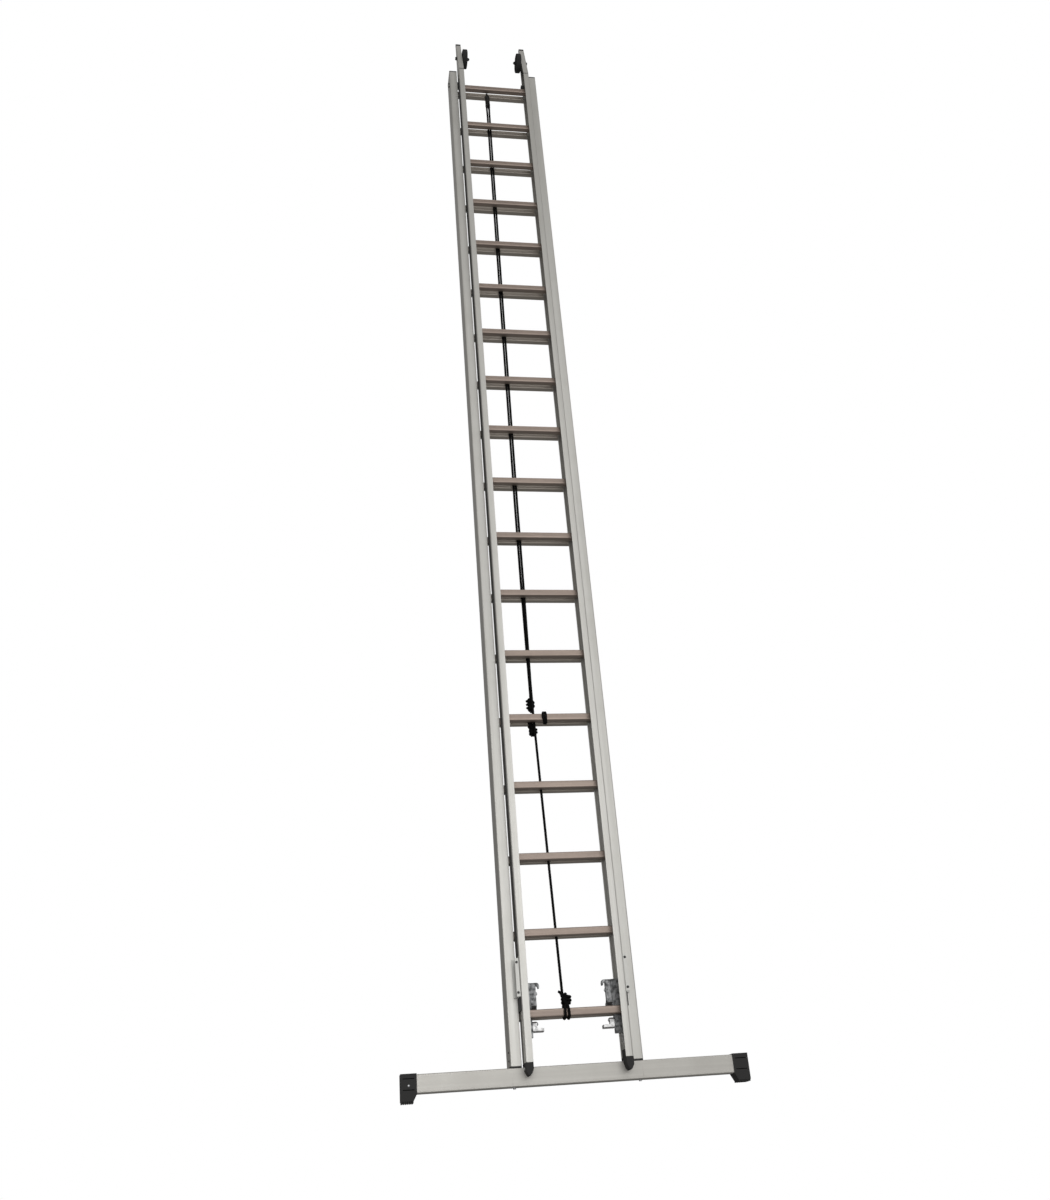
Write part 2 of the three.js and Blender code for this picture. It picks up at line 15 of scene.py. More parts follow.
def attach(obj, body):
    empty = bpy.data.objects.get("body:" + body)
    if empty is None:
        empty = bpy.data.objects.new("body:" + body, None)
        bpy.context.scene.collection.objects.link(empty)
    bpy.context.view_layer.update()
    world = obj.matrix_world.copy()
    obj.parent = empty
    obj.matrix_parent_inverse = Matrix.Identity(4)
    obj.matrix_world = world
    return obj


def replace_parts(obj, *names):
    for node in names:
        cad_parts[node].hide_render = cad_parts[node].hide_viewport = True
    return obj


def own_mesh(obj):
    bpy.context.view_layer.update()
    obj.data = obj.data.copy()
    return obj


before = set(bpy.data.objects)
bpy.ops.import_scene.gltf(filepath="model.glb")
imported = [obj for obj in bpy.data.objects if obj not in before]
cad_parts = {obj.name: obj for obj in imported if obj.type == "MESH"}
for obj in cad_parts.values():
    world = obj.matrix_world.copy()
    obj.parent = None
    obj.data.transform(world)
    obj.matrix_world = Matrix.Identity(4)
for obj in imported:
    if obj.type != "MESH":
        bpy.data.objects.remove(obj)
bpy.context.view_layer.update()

MM = 0.001
Point = tuple[float, float, float]
Loop = list[tuple[float, float]]
log = logging.getLogger("ladder")


class Side(Enum):
    """The two sides of the ladder, seen by the climber; the value is the sign of X."""

    LEFT = -1
    RIGHT = 1

    @property
    def word(self) -> str:
        """The side's name in piece names."""
        return self.name.lower()


class Axis(Enum):
    """The direction a profile is pushed along; its plane is made of the two other directions."""

    X = "X"
    Y = "Y"
    Z = "Z"

    def place(self, a: float, b: float, along: float) -> Point:
        """A point of the profile's plane, at a distance along the axis.

        Args:
            a: first coordinate in the plane, which is X, or Y where the axis is X.
            b: second coordinate in the plane, which is Z, or Y where the axis is Z.
            along: distance along the axis.

        Returns:
            The point in the ladder's frame.
        """
        if self is Axis.X:
            return (along, a, b)
        if self is Axis.Y:
            return (a, along, b)
        return (a, b, along)


class Head(Enum):
    """Heads that a fastener can show."""

    RIVET = "rivet"
    HEX = "hex"
    CAP_NUT = "cap_nut"


# ---- Finishes -----------------------------------------------------------------------------


class Graph:
    """A material's node tree, with short calls to add nodes and join them."""

    def __init__(self, name: str) -> None:
        """Starts an empty node tree with a shader and an output.

        Args:
            name: the material's name.
        """
        self.material = bpy.data.materials.new(name)
        self.material.use_nodes = True
        self.tree = self.material.node_tree
        self.tree.nodes.clear()
        self.shader = self.tree.nodes.new("ShaderNodeBsdfPrincipled")
        output = self.tree.nodes.new("ShaderNodeOutputMaterial")
        self.join(self.shader.outputs[0], output.inputs["Surface"])
        self.place = self.tree.nodes.new("ShaderNodeTexCoord").outputs["Object"]

    def join(self, source: bpy.types.NodeSocket, target: bpy.types.NodeSocket) -> None:
        """Joins an output to an input."""
        self.tree.links.new(source, target)

    def stretched(self, scale: Point) -> bpy.types.NodeSocket:
        """Object coordinates, scaled separately in each direction.

        Args:
            scale: repeats per metre in X, Y and Z.

        Returns:
            The scaled coordinates.
        """
        mapping = self.tree.nodes.new("ShaderNodeMapping")
        mapping.inputs["Scale"].default_value = scale
        self.join(self.place, mapping.inputs["Vector"])
        return mapping.outputs["Vector"]

    def noise(self, scale: Point, detail: float = 4.0, rough: float = 0.55) -> bpy.types.NodeSocket:
        """Cloudy noise.

        Args:
            scale: features per metre in X, Y and Z.
            detail: number of octaves.
            rough: how strong the finer octaves are.

        Returns:
            The noise as a value from 0 to 1.
        """
        node = self.tree.nodes.new("ShaderNodeTexNoise")
        node.inputs["Scale"].default_value = 1.0
        node.inputs["Detail"].default_value = detail
        node.inputs["Roughness"].default_value = rough
        self.join(self.stretched(scale), node.inputs["Vector"])
        return node.outputs["Fac"]

    def cells(self, scale: float) -> bpy.types.NodeSocket:
        """Distance to the nearest of randomly placed points, for grains and spangle."""
        node = self.tree.nodes.new("ShaderNodeTexVoronoi")
        node.inputs["Scale"].default_value = scale
        self.join(self.place, node.inputs["Vector"])
        return node.outputs["Distance"]

    def ranged(self, value: bpy.types.NodeSocket, source: Sequence[float],
               target: Sequence[float]) -> bpy.types.NodeSocket:
        """Carries a value from one range into another, held at both ends.

        Args:
            value: the value to carry over.
            source: lowest and highest value that come in.
            target: the values that these become.

        Returns:
            The value in its new range.
        """
        node = self.tree.nodes.new("ShaderNodeMapRange")
        numbers = (*source, *target)
        for name, number in zip(("From Min", "From Max", "To Min", "To Max"), numbers):
            node.inputs[name].default_value = number
        self.join(value, node.inputs["Value"])
        return node.outputs["Result"]

    def blend(self, amount: bpy.types.NodeSocket, first: object,
              second: Point) -> bpy.types.NodeSocket:
        """Mixes two colours.

        Args:
            amount: 0 gives the first colour and 1 the second.
            first: a colour, or the output of an earlier mix.
            second: a colour.

        Returns:
            The mixed colour.
        """
        node = self.tree.nodes.new("ShaderNodeMix")
        node.data_type = "RGBA"
        self.join(amount, node.inputs["Factor"])
        if isinstance(first, bpy.types.NodeSocket):
            self.join(first, node.inputs["A"])
        else:
            node.inputs["A"].default_value = (*first, 1.0)
        node.inputs["B"].default_value = (*second, 1.0)
        return node.outputs["Result"]

    def bump(self, height: bpy.types.NodeSocket, depth_mm: float, strength: float,
             under: bpy.types.NodeSocket | None = None) -> bpy.types.NodeSocket:
        """Turns a height into a surface direction.

        Args:
            height: the height, from 0 to 1.
            depth_mm: what a height of 1 stands for, in millimetres.
            strength: how much of it shows.
            under: the surface direction from a coarser bump, if any.

        Returns:
            The surface direction.
        """
        node = self.tree.nodes.new("ShaderNodeBump")
        node.inputs["Strength"].default_value = strength
        node.inputs["Distance"].default_value = depth_mm * MM
        self.join(height, node.inputs["Height"])
        if under is not None:
            self.join(under, node.inputs["Normal"])
        return node.outputs["Normal"]

    def dress(self, colour: bpy.types.NodeSocket, roughness: bpy.types.NodeSocket,
              normal: bpy.types.NodeSocket, **steady: float) -> bpy.types.Material:
        """Joins the finished colour, roughness and surface direction to the shader.

        Args:
            colour: base colour.
            roughness: roughness.
            normal: surface direction.
            steady: numbers that are the same all over, by socket name with spaces as underscores.

        Returns:
            The material.
        """
        self.join(colour, self.shader.inputs["Base Color"])
        self.join(roughness, self.shader.inputs["Roughness"])
        self.join(normal, self.shader.inputs["Normal"])
        for name, number in steady.items():
            self.shader.inputs[name.replace("_", " ")].default_value = number
        return self.material


@dataclass(frozen=True)
class Finish:
    """A surface finish; each kind says how its material is made."""

    name: str
    slot: str

    def material(self) -> bpy.types.Material:
        """The finish's material, made the first time it is asked for."""
        return bpy.data.materials.get(self.name) or self.make()

    def make(self) -> bpy.types.Material:
        """Makes the material."""
        raise NotImplementedError(self.name)


@dataclass(frozen=True)
class DrawnAluminium(Finish):
    """Extruded aluminium: die lines along its length, cloudy anodising and dull handling marks."""

    tint: Point
    shade: Point
    stain: Point
    along: Axis = Axis.Z
    roughness: float = 0.42
    metallic: float = 0.75
    line_depth_mm: float = 0.05

    def make(self) -> bpy.types.Material:
        """Makes the aluminium's material."""
        graph = Graph(self.name)
        fine = [620.0, 620.0, 620.0]
        wide = [60.0, 60.0, 60.0]
        at = "XYZ".index(self.along.value)
        fine[at], wide[at] = 2.2, 0.9
        lines = graph.noise(tuple(fine), 5.0, 0.6)
        bands = graph.noise(tuple(wide), 3.0, 0.5)
        clouds = graph.noise((7.0, 7.0, 7.0), 5.0, 0.6)
        scuffs = graph.noise((95.0, 95.0, 95.0), 6.0, 0.72)
        colour = graph.blend(graph.ranged(bands, (0.3, 0.72), (0.0, 1.0)), self.tint, self.shade)
        colour = graph.blend(graph.ranged(clouds, (0.46, 0.78), (0.0, 0.5)), colour, self.stain)
        colour = graph.blend(graph.ranged(scuffs, (0.64, 0.72), (0.0, 0.35)), colour, self.shade)
        rough = graph.ranged(lines, (0.25, 0.75), (self.roughness - 0.06, self.roughness + 0.08))
        coarse = graph.bump(clouds, 0.25, 0.12)
        normal = graph.bump(lines, self.line_depth_mm, 0.5, coarse)
        return graph.dress(colour, rough, normal, Metallic=self.metallic)


@dataclass(frozen=True)
class CastAlloy(Finish):
    """Die-cast alloy: sandy skin, with random dark patches of painted shade standing in for shaded
    recesses.
    """

    tint: Point
    shade: Point
    roughness: float = 0.5

    def make(self) -> bpy.types.Material:
        """Makes the casting's material."""
        graph = Graph(self.name)
        painted_shade_patches = graph.noise((75.0, 75.0, 75.0), 3.0, 0.55)
        grit = graph.noise((1500.0, 1500.0, 1500.0), 3.0, 0.6)
        # The dark patches are painted shade, standing in for shaded recesses; the same noise also
        # varies roughness and bump.
        colour = graph.blend(graph.ranged(painted_shade_patches, (0.38, 0.62), (0.0, 1.0)), self.tint, self.shade)
        rough = graph.ranged(painted_shade_patches, (0.3, 0.7), (self.roughness - 0.08, self.roughness + 0.12))
        normal = graph.bump(grit, 0.12, 0.45, graph.bump(painted_shade_patches, 0.4, 0.2))
        return graph.dress(colour, rough, normal, Metallic=0.85)


@dataclass(frozen=True)
class ZincPlate(Finish):
    """Zinc-plated steel: bright, with a faint spangle and rubbed patches."""

    tint: Point
    shade: Point
    roughness: float = 0.3

    def make(self) -> bpy.types.Material:
        """Makes the plating's material."""
        graph = Graph(self.name)
        spangle = graph.cells(260.0)
        rubbed = graph.noise((70.0, 70.0, 70.0), 5.0, 0.7)
        colour = graph.blend(graph.ranged(spangle, (0.1, 0.75), (0.0, 1.0)), self.tint, self.shade)
        rough = graph.ranged(rubbed, (0.35, 0.7), (self.roughness - 0.05, self.roughness + 0.15))
        normal = graph.bump(rubbed, 0.08, 0.3)
        return graph.dress(colour, rough, normal, Metallic=1.0)


@dataclass(frozen=True)
class Moulding(Finish):
    """Moulded black polymer: a fine leathery skin, greyed with dust and worn smoother in places."""

    tint: Point
    dust: Point
    roughness: float = 0.55
    grain_per_metre: float = 900.0
    grain_depth_mm: float = 0.12

    def make(self) -> bpy.types.Material:
        """Makes the polymer's material."""
        graph = Graph(self.name)
        grain = graph.cells(self.grain_per_metre)
        wear = graph.noise((28.0, 28.0, 28.0), 6.0, 0.7)
        specks = graph.noise((420.0, 420.0, 420.0), 3.0, 0.6)
        colour = graph.blend(graph.ranged(wear, (0.5, 0.8), (0.0, 0.7)), self.tint, self.dust)
        colour = graph.blend(graph.ranged(specks, (0.62, 0.74), (0.0, 0.5)), colour, self.dust)
        rough = graph.ranged(wear, (0.3, 0.75), (self.roughness + 0.12, self.roughness - 0.12))
        normal = graph.bump(grain, self.grain_depth_mm, 0.5, graph.bump(wear, 0.3, 0.15))
        return graph.dress(colour, rough, normal)


@dataclass(frozen=True)
class RopeFibre(Finish):
    """Black twisted rope yarn: fuzzy, matt, with paler broken fibres."""

    tint: Point
    fuzz: Point

    def make(self) -> bpy.types.Material:
        """Makes the yarn's material."""
        graph = Graph(self.name)
        yarn = graph.noise((1400.0, 1400.0, 420.0), 4.0, 0.7)
        worn = graph.noise((30.0, 30.0, 9.0), 4.0, 0.6)
        colour = graph.blend(graph.ranged(yarn, (0.55, 0.8), (0.0, 0.8)), self.tint, self.fuzz)
        rough = graph.ranged(worn, (0.3, 0.7), (0.78, 0.92))
        normal = graph.bump(yarn, 0.35, 0.6)
        return graph.dress(colour, rough, normal, Specular_IOR_Level=0.15)


STILE = DrawnAluminium("satin_stile_aluminium", "stile_aluminium",
                       (0.55, 0.545, 0.52), (0.49, 0.485, 0.46), (0.44, 0.435, 0.405))
RUNG = DrawnAluminium("warm_rung_aluminium", "rung_aluminium",
                      (0.40, 0.33, 0.285), (0.33, 0.27, 0.235), (0.27, 0.225, 0.20), Axis.X, 0.48)
BAR = DrawnAluminium("satin_bar_aluminium", "bar_aluminium",
                     (0.50, 0.49, 0.46), (0.44, 0.43, 0.405), (0.40, 0.385, 0.36), Axis.X, 0.46)
ZINC = ZincPlate("zinc_plated_steel", "zinc_steel", (0.70, 0.71, 0.72), (0.50, 0.51, 0.53))
# A lighter copy of the rung aluminium for the base's rungs: painted light, standing in for the
# light that falls on their undersides.
PAINTED_LIT_RUNG = DrawnAluminium("rung_aluminium_painted_lit", "rung_aluminium", (0.50, 0.46, 0.41),
                           (0.44, 0.40, 0.355), (0.37, 0.335, 0.295), Axis.X, 0.48)
# Both cast finishes carry random dark patches of painted shade, standing in for the shade in the
# locks' recesses.
CAST = CastAlloy("die_cast_alloy", "cast_alloy", (0.30, 0.305, 0.31), (0.09, 0.092, 0.095))
BRIGHT_CAST = CastAlloy("rubbed_cast_alloy", "cast_alloy", (0.62, 0.62, 0.62), (0.40, 0.40, 0.40),
                        0.35)
PLASTIC = Moulding("black_plastic", "black_plastic", (0.005, 0.005, 0.005), (0.018, 0.017, 0.016))
RUBBER = Moulding("black_rubber", "black_rubber", (0.004, 0.004, 0.004), (0.018, 0.017, 0.016),
                  0.68, 600.0, 0.2)
ROPE = RopeFibre("black_rope_yarn", "black_rope", (0.002, 0.002, 0.002), (0.008, 0.008, 0.009))
BLACK_METAL = Moulding("black_painted_steel", "black_plastic", (0.008, 0.008, 0.008),
                       (0.03, 0.03, 0.03), 0.45, 1400.0, 0.05)
GUIDE = DrawnAluminium("satin_guide_plate", "zinc_steel", (0.52, 0.52, 0.50), (0.46, 0.46, 0.44),
                       (0.40, 0.40, 0.38), Axis.Z, 0.45)


# ---- Mesh making --------------------------------------------------------------------------


@dataclass
class Shape:
    """Vertices in millimetres and the faces on them, gathered until they become one piece."""

    verts: list[Point] = field(default_factory=list)
    faces: list[tuple[int, ...]] = field(default_factory=list)

    def take(self, *others: "Shape") -> "Shape":
        """Adds other shapes to this one.

        Args:
            others: the shapes to add.

        Returns:
            This shape.
        """
        for other in others:
            start = len(self.verts)
            self.verts.extend(other.verts)
            self.faces.extend(tuple(start + i for i in face) for face in other.faces)
        return self

    def cut_above(self, point: Point, normal: Point) -> "Shape":
        """Cuts off what lies past a plane and closes the cut.

        Args:
            point: a point of the plane.
            normal: the direction of what is cut off.

        Returns:
            This shape.
        """
        body = bmesh.new()
        corners = [body.verts.new(v) for v in self.verts]
        for face in self.faces:
            body.faces.new([corners[i] for i in face])
        found = bmesh.ops.bisect_plane(
            body, geom=[*body.verts, *body.edges, *body.faces], dist=1e-4,
            plane_co=point, plane_no=normal, clear_outer=True)
        rim = [e for e in found["geom_cut"] if isinstance(e, bmesh.types.BMEdge)]
        bmesh.ops.holes_fill(body, edges=rim, sides=0)
        body.verts.index_update()
        self.verts = [tuple(v.co) for v in body.verts]
        self.faces = [tuple(v.index for v in f.verts) for f in body.faces]
        body.free()
        return self

    def piece(self, name: str, finish: Finish, body: str, edge_mm: float = 0.0,
              sharp: float = 32.0) -> bpy.types.Object:
        """Makes the piece that shows, dressed and riding on its body.

        Args:
            name: the piece's name.
            finish: its surface.
            body: the CAD body it moves with.
            edge_mm: radius that its edges are rounded to.
            sharp: edges that turn more than this, in degrees, stay crisp.

        Returns:
            The new object.
        """
        mesh = bpy.data.meshes.new(name)
        mesh.from_pydata([tuple(c * MM for c in v) for v in self.verts], [], self.faces)
        bulk = bmesh.new()
        bulk.from_mesh(mesh)
        bmesh.ops.remove_doubles(bulk, verts=bulk.verts, dist=1e-6)
        bmesh.ops.recalc_face_normals(bulk, faces=bulk.faces)
        bulk.to_mesh(mesh)
        bulk.free()
        mesh.shade_smooth()
        mesh.set_sharp_from_angle(angle=math.radians(sharp))
        mesh.materials.append(finish.material())
        made = bpy.data.objects.new(name, mesh)
        bpy.context.scene.collection.objects.link(made)
        if edge_mm:
            round_edges(made, edge_mm)
        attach(made, body)
        return made


def round_edges(made: bpy.types.Object, edge_mm: float) -> None:
    """Rounds a piece's sharp edges.

    Args:
        made: the piece.
        edge_mm: radius of the edges.
    """
    rounding = made.modifiers.new("rounded_edges", "BEVEL")
    rounding.width = edge_mm * MM
    rounding.segments = 3
    rounding.limit_method = "ANGLE"
    rounding.angle_limit = math.radians(28)
    rounding.harden_normals = False


def dress_node(node: str, finish: Finish, edge_mm: float = 0.0) -> None:
    """Gives a CAD node its finish and softens its edges.

    Args:
        node: the CAD node's name.
        finish: its surface.
        edge_mm: radius that its edges are rounded to.
    """
    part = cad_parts[node]
    part.data.materials.clear()
    part.data.materials.append(finish.material())
    if edge_mm:
        weld = part.modifiers.new("weld", "WELD")
        weld.merge_threshold = 1e-5
        round_edges(part, edge_mm)


def prism(profile: Loop, axis: Axis, start: float, end: float) -> Shape:
    """Pushes a closed profile along an axis and closes both ends.

    Args:
        profile: corners of the profile, in order.
        axis: the direction of the push.
        start: where it begins.
        end: where it ends.

    Returns:
        The solid shape.
    """
    count = len(profile)
    verts = [axis.place(a, b, w) for w in (start, end) for a, b in profile]
    faces = [(i, (i + 1) % count, (i + 1) % count + count, i + count) for i in range(count)]
    return Shape(verts, [*faces, tuple(range(count)), tuple(range(count, 2 * count))])


def block(x: Sequence[float], y: Sequence[float], z: Sequence[float]) -> Shape:
    """A box between two values in each direction."""
    return prism([(x[0], y[0]), (x[1], y[0]), (x[1], y[1]), (x[0], y[1])], Axis.Z, *z)


def hollow(outer: Loop, inner: Loop, axis: Axis, start: float, end: float) -> Shape:
    """Pushes a profile with a hole along an axis.

    Args:
        outer: corners of the outside, in order.
        inner: corners of the hole, as many as the outside has.
        axis: the direction of the push.
        start: where it begins.
        end: where it ends.

    Returns:
        The tube, open through its middle.
    """
    count = len(outer)
    rings = [(outer, start), (outer, end), (inner, end), (inner, start)]
    verts = [axis.place(a, b, w) for loop, w in rings for a, b in loop]
    faces = []
    for ring in range(4):
        here, there = ring * count, (ring + 1) % 4 * count
        faces += [(here + i, here + (i + 1) % count, there + (i + 1) % count, there + i)
                  for i in range(count)]
    return Shape(verts, faces)


def turned(profile: Loop, centre: Point, direction: Point, sides: int = 32,
           closed: bool = False) -> Shape:
    """Turns a profile about an axis, as on a lathe.

    Args:
        profile: radius and height of each point; it may start and end on the axis.
        centre: where height 0 lies on the axis.
        direction: the way that the height grows.
        sides: number of steps round the axis.
        closed: whether the last point joins the first, as in a ring.

    Returns:
        The turned shape.
    """
    turn = Vector(direction).to_track_quat("Z", "Y").to_matrix()
    count = len(profile)
    verts = []
    for step in range(sides):
        angle = 2 * math.pi * step / sides
        for radius, height in profile:
            at = turn @ Vector((radius * math.cos(angle), radius * math.sin(angle), height))
            verts.append(tuple(at + Vector(centre)))
    faces = []
    for step in range(sides):
        here, there = step * count, (step + 1) % sides * count
        for i in range(count if closed else count - 1):
            j = (i + 1) % count
            faces.append((here + i, here + j, there + j, there + i))
    return Shape(verts, faces)


def fastener(head: Head, centre: Point, direction: Point, radius: float) -> Shape:
    """The part of a fastener that shows, standing on a surface.

    Args:
        head: its kind of head.
        centre: the middle of the head on the surface.
        direction: away from the surface.
        radius: radius of the rivet, or half the width across a hexagon.

    Returns:
        The head with its washer.
    """
    dome = [(radius * math.cos(a), 0.62 * radius * math.sin(a))
            for a in np.linspace(0, math.pi / 2, 6)]
    if head is Head.RIVET:
        return turned([(0, -0.3), (radius, -0.3), *dome], centre, direction, 20)
    washer = [(0, -0.2), (1.55 * radius, -0.2), (1.55 * radius, 1.0), (0, 1.0)]
    corner = radius / math.cos(math.pi / 6)
    sides = [(0, 0.9), (corner * 0.95, 0.9), (corner, 1.4), (corner, 0.95 * radius),
             (corner * 0.9, 1.1 * radius), (0, 1.1 * radius)]
    shape = turned(washer, centre, direction, 24).take(turned(sides, centre, direction, 6))
    if head is Head.CAP_NUT:
        lift = Vector(direction).normalized() * radius
        raised = tuple(Vector(centre) + lift)
        ball = [(0.85 * r, 1.25 * h) for r, h in dome]
        shape.take(turned([(0, 0), *ball], raised, direction, 20))
    return shape


def rounded(width: float, height: float, radius: float, steps: int = 4) -> Loop:
    """A rectangle about the origin with rounded corners.

    Args:
        width: size in the first direction.
        height: size in the second direction.
        radius: radius of the corners.
        steps: edges in each corner.

    Returns:
        The corners of the loop, anticlockwise.
    """
    loop = []
    for quarter in range(4):
        a = (width / 2 - radius) * (1 if quarter in (0, 3) else -1)
        b = (height / 2 - radius) * (1 if quarter in (0, 1) else -1)
        for step in range(steps + 1):
            angle = (quarter + step / steps) * math.pi / 2
            loop.append((a + radius * math.cos(angle), b + radius * math.sin(angle)))
    return loop


def smooth_path(points: Sequence[Point], step: float) -> np.ndarray:
    """A smooth curve through the given points.

    Args:
        points: the points it passes, in order.
        step: distance between the points that come out.

    Returns:
        The curve's points, evenly spaced.
    """
    p = np.array(points, float)
    p = np.vstack([2 * p[0] - p[1], p, 2 * p[-1] - p[-2]])
    t = np.linspace(0, 1, 24, endpoint=False)[:, None]
    runs = []
    for a, b, c, d in zip(p, p[1:], p[2:], p[3:]):
        runs.append(0.5 * (2 * b + (c - a) * t + (2 * a - 5 * b + 4 * c - d) * t ** 2
                           + (3 * b - a - 3 * c + d) * t ** 3))
    line = np.vstack([*runs, p[-2]])
    along = np.concatenate([[0], np.cumsum(np.linalg.norm(np.diff(line, axis=0), axis=1))])
    marks = np.linspace(0, along[-1], max(2, round(along[-1] / step) + 1))
    return np.column_stack([np.interp(marks, along, line[:, k]) for k in range(3)])


def even_path(points: Sequence[Point], step: float) -> np.ndarray:
    """A line along straight lengths between the given points, with its corners eased.

    Args:
        points: the points it passes, in order.
        step: distance between the points that come out.

    Returns:
        The line's points, evenly spaced.
    """
    line = np.array(points, float)
    along = np.concatenate([[0], np.cumsum(np.linalg.norm(np.diff(line, axis=0), axis=1))])
    marks = np.linspace(0, along[-1], max(2, round(along[-1] / step) + 1))
    even = np.column_stack([np.interp(marks, along, line[:, k]) for k in range(3)])
    even[1:-1] = (even[:-2] + 2 * even[1:-1] + even[2:]) / 4
    return even


def twisted(line: np.ndarray, radius: float, lay: float, sides: int = 15) -> Shape:
    """A rope of three strands laid round each other, following a line.

    Args:
        line: evenly spaced points of its middle.
        radius: its outer radius.
        lay: length of one turn of a strand.
        sides: points in each ring.

    Returns:
        The rope, with a rounded end at each end.
    """
    ahead = np.gradient(line, axis=0)
    ahead /= np.linalg.norm(ahead, axis=1)[:, None]
    side = np.cross(ahead[0], (0.0, 1.0, 0.0))
    if np.linalg.norm(side) < 0.1:
        side = np.cross(ahead[0], (1.0, 0.0, 0.0))
    step = float(np.linalg.norm(line[1] - line[0]))
    theta = 2 * math.pi * np.arange(sides) / sides
    verts = []
    for n, (at, way) in enumerate(zip(line, ahead)):
        side = side - way * (side @ way)
        side /= np.linalg.norm(side)
        over = np.cross(way, side)
        lobes = np.abs(np.cos(1.5 * (theta - 2 * math.pi * n * step / lay)))
        end = min(n, len(line) - 1 - n)
        ring = radius * (0.92 + 0.12 * lobes) * (0.72, 0.94, 1.0)[min(end, 2)]
        verts += [tuple(at + r * (math.cos(a) * side + math.sin(a) * over))
                  for r, a in zip(ring, theta)]
    faces = []
    for n in range(len(line) - 1):
        here, there = n * sides, (n + 1) * sides
        faces += [(here + i, here + (i + 1) % sides, there + (i + 1) % sides, there + i)
                  for i in range(sides)]
    last = (len(line) - 1) * sides
    return Shape(verts, [*faces, tuple(range(sides)), tuple(range(last, last + sides))])


# ---- Sizes that every section shares ------------------------------------------------------


@dataclass(frozen=True)
class Rungs:
    """The rungs' spacing and section, the same in both sections of the ladder."""

    count: int = 18
    pitch: float = 280.0
    first: float = 263.0
    depth: float = 27.0
    height: float = 28.0
    corner: float = 5.0
    wall: float = 2.0
    grooves: int = 5
    groove_width: float = 1.0
    groove_depth: float = 0.55

    def level(self, number: int) -> float:
        """Height of the middle of a rung, counted from 1."""
        return self.first + (number - 1) * self.pitch

    def loops(self, swell: float = 0.0) -> tuple[Loop, Loop]:
        """The section's outside, grooved above and in front, and its hole.

        Args:
            swell: how far the outside stands proud, where a collar is flared.

        Returns:
            The outer loop and the inner loop, with as many points each.
        """
        plain = rounded(self.depth + 2 * swell, self.height + 2 * swell, self.corner + swell)
        hole = rounded(self.depth - 2 * self.wall, self.height - 2 * self.wall,
                       self.corner - self.wall)
        outer, inner = [], []
        for i, (a, b) in enumerate(plain):
            outer.append((a, b))
            inner.append(hole[i])
            after = plain[(i + 1) % len(plain)]
            level, upright = abs(after[1] - b) < 0.01, abs(after[0] - a) < 0.01
            treads = not swell and ((level and b > 0) or (upright and a < 0))
            if not treads or math.dist((a, b), after) < self.corner:
                continue
            inward = (0.0, -self.groove_depth) if level else (self.groove_depth, 0.0)
            far = hole[(i + 1) % len(plain)]
            for groove in range(self.grooves):
                middle = (groove + 1) / (self.grooves + 1)
                half = self.groove_width / 2 / math.dist((a, b), after)
                marks = ((-half, 0), (-half * 0.7, 1), (half * 0.7, 1), (half, 0))
                for shift, sunk in marks:
                    t = middle + shift
                    outer.append((a + (after[0] - a) * t + inward[0] * sunk,
                                  b + (after[1] - b) * t + inward[1] * sunk))
                    inner.append((hole[i][0] + (far[0] - hole[i][0]) * t,
                                  hole[i][1] + (far[1] - hole[i][1]) * t))
        return outer, inner


RUNGS = Rungs()


def shifted(loop: Loop, a: float, b: float) -> Loop:
    """A loop moved in its plane."""
    return [(x + a, y + b) for x, y in loop]


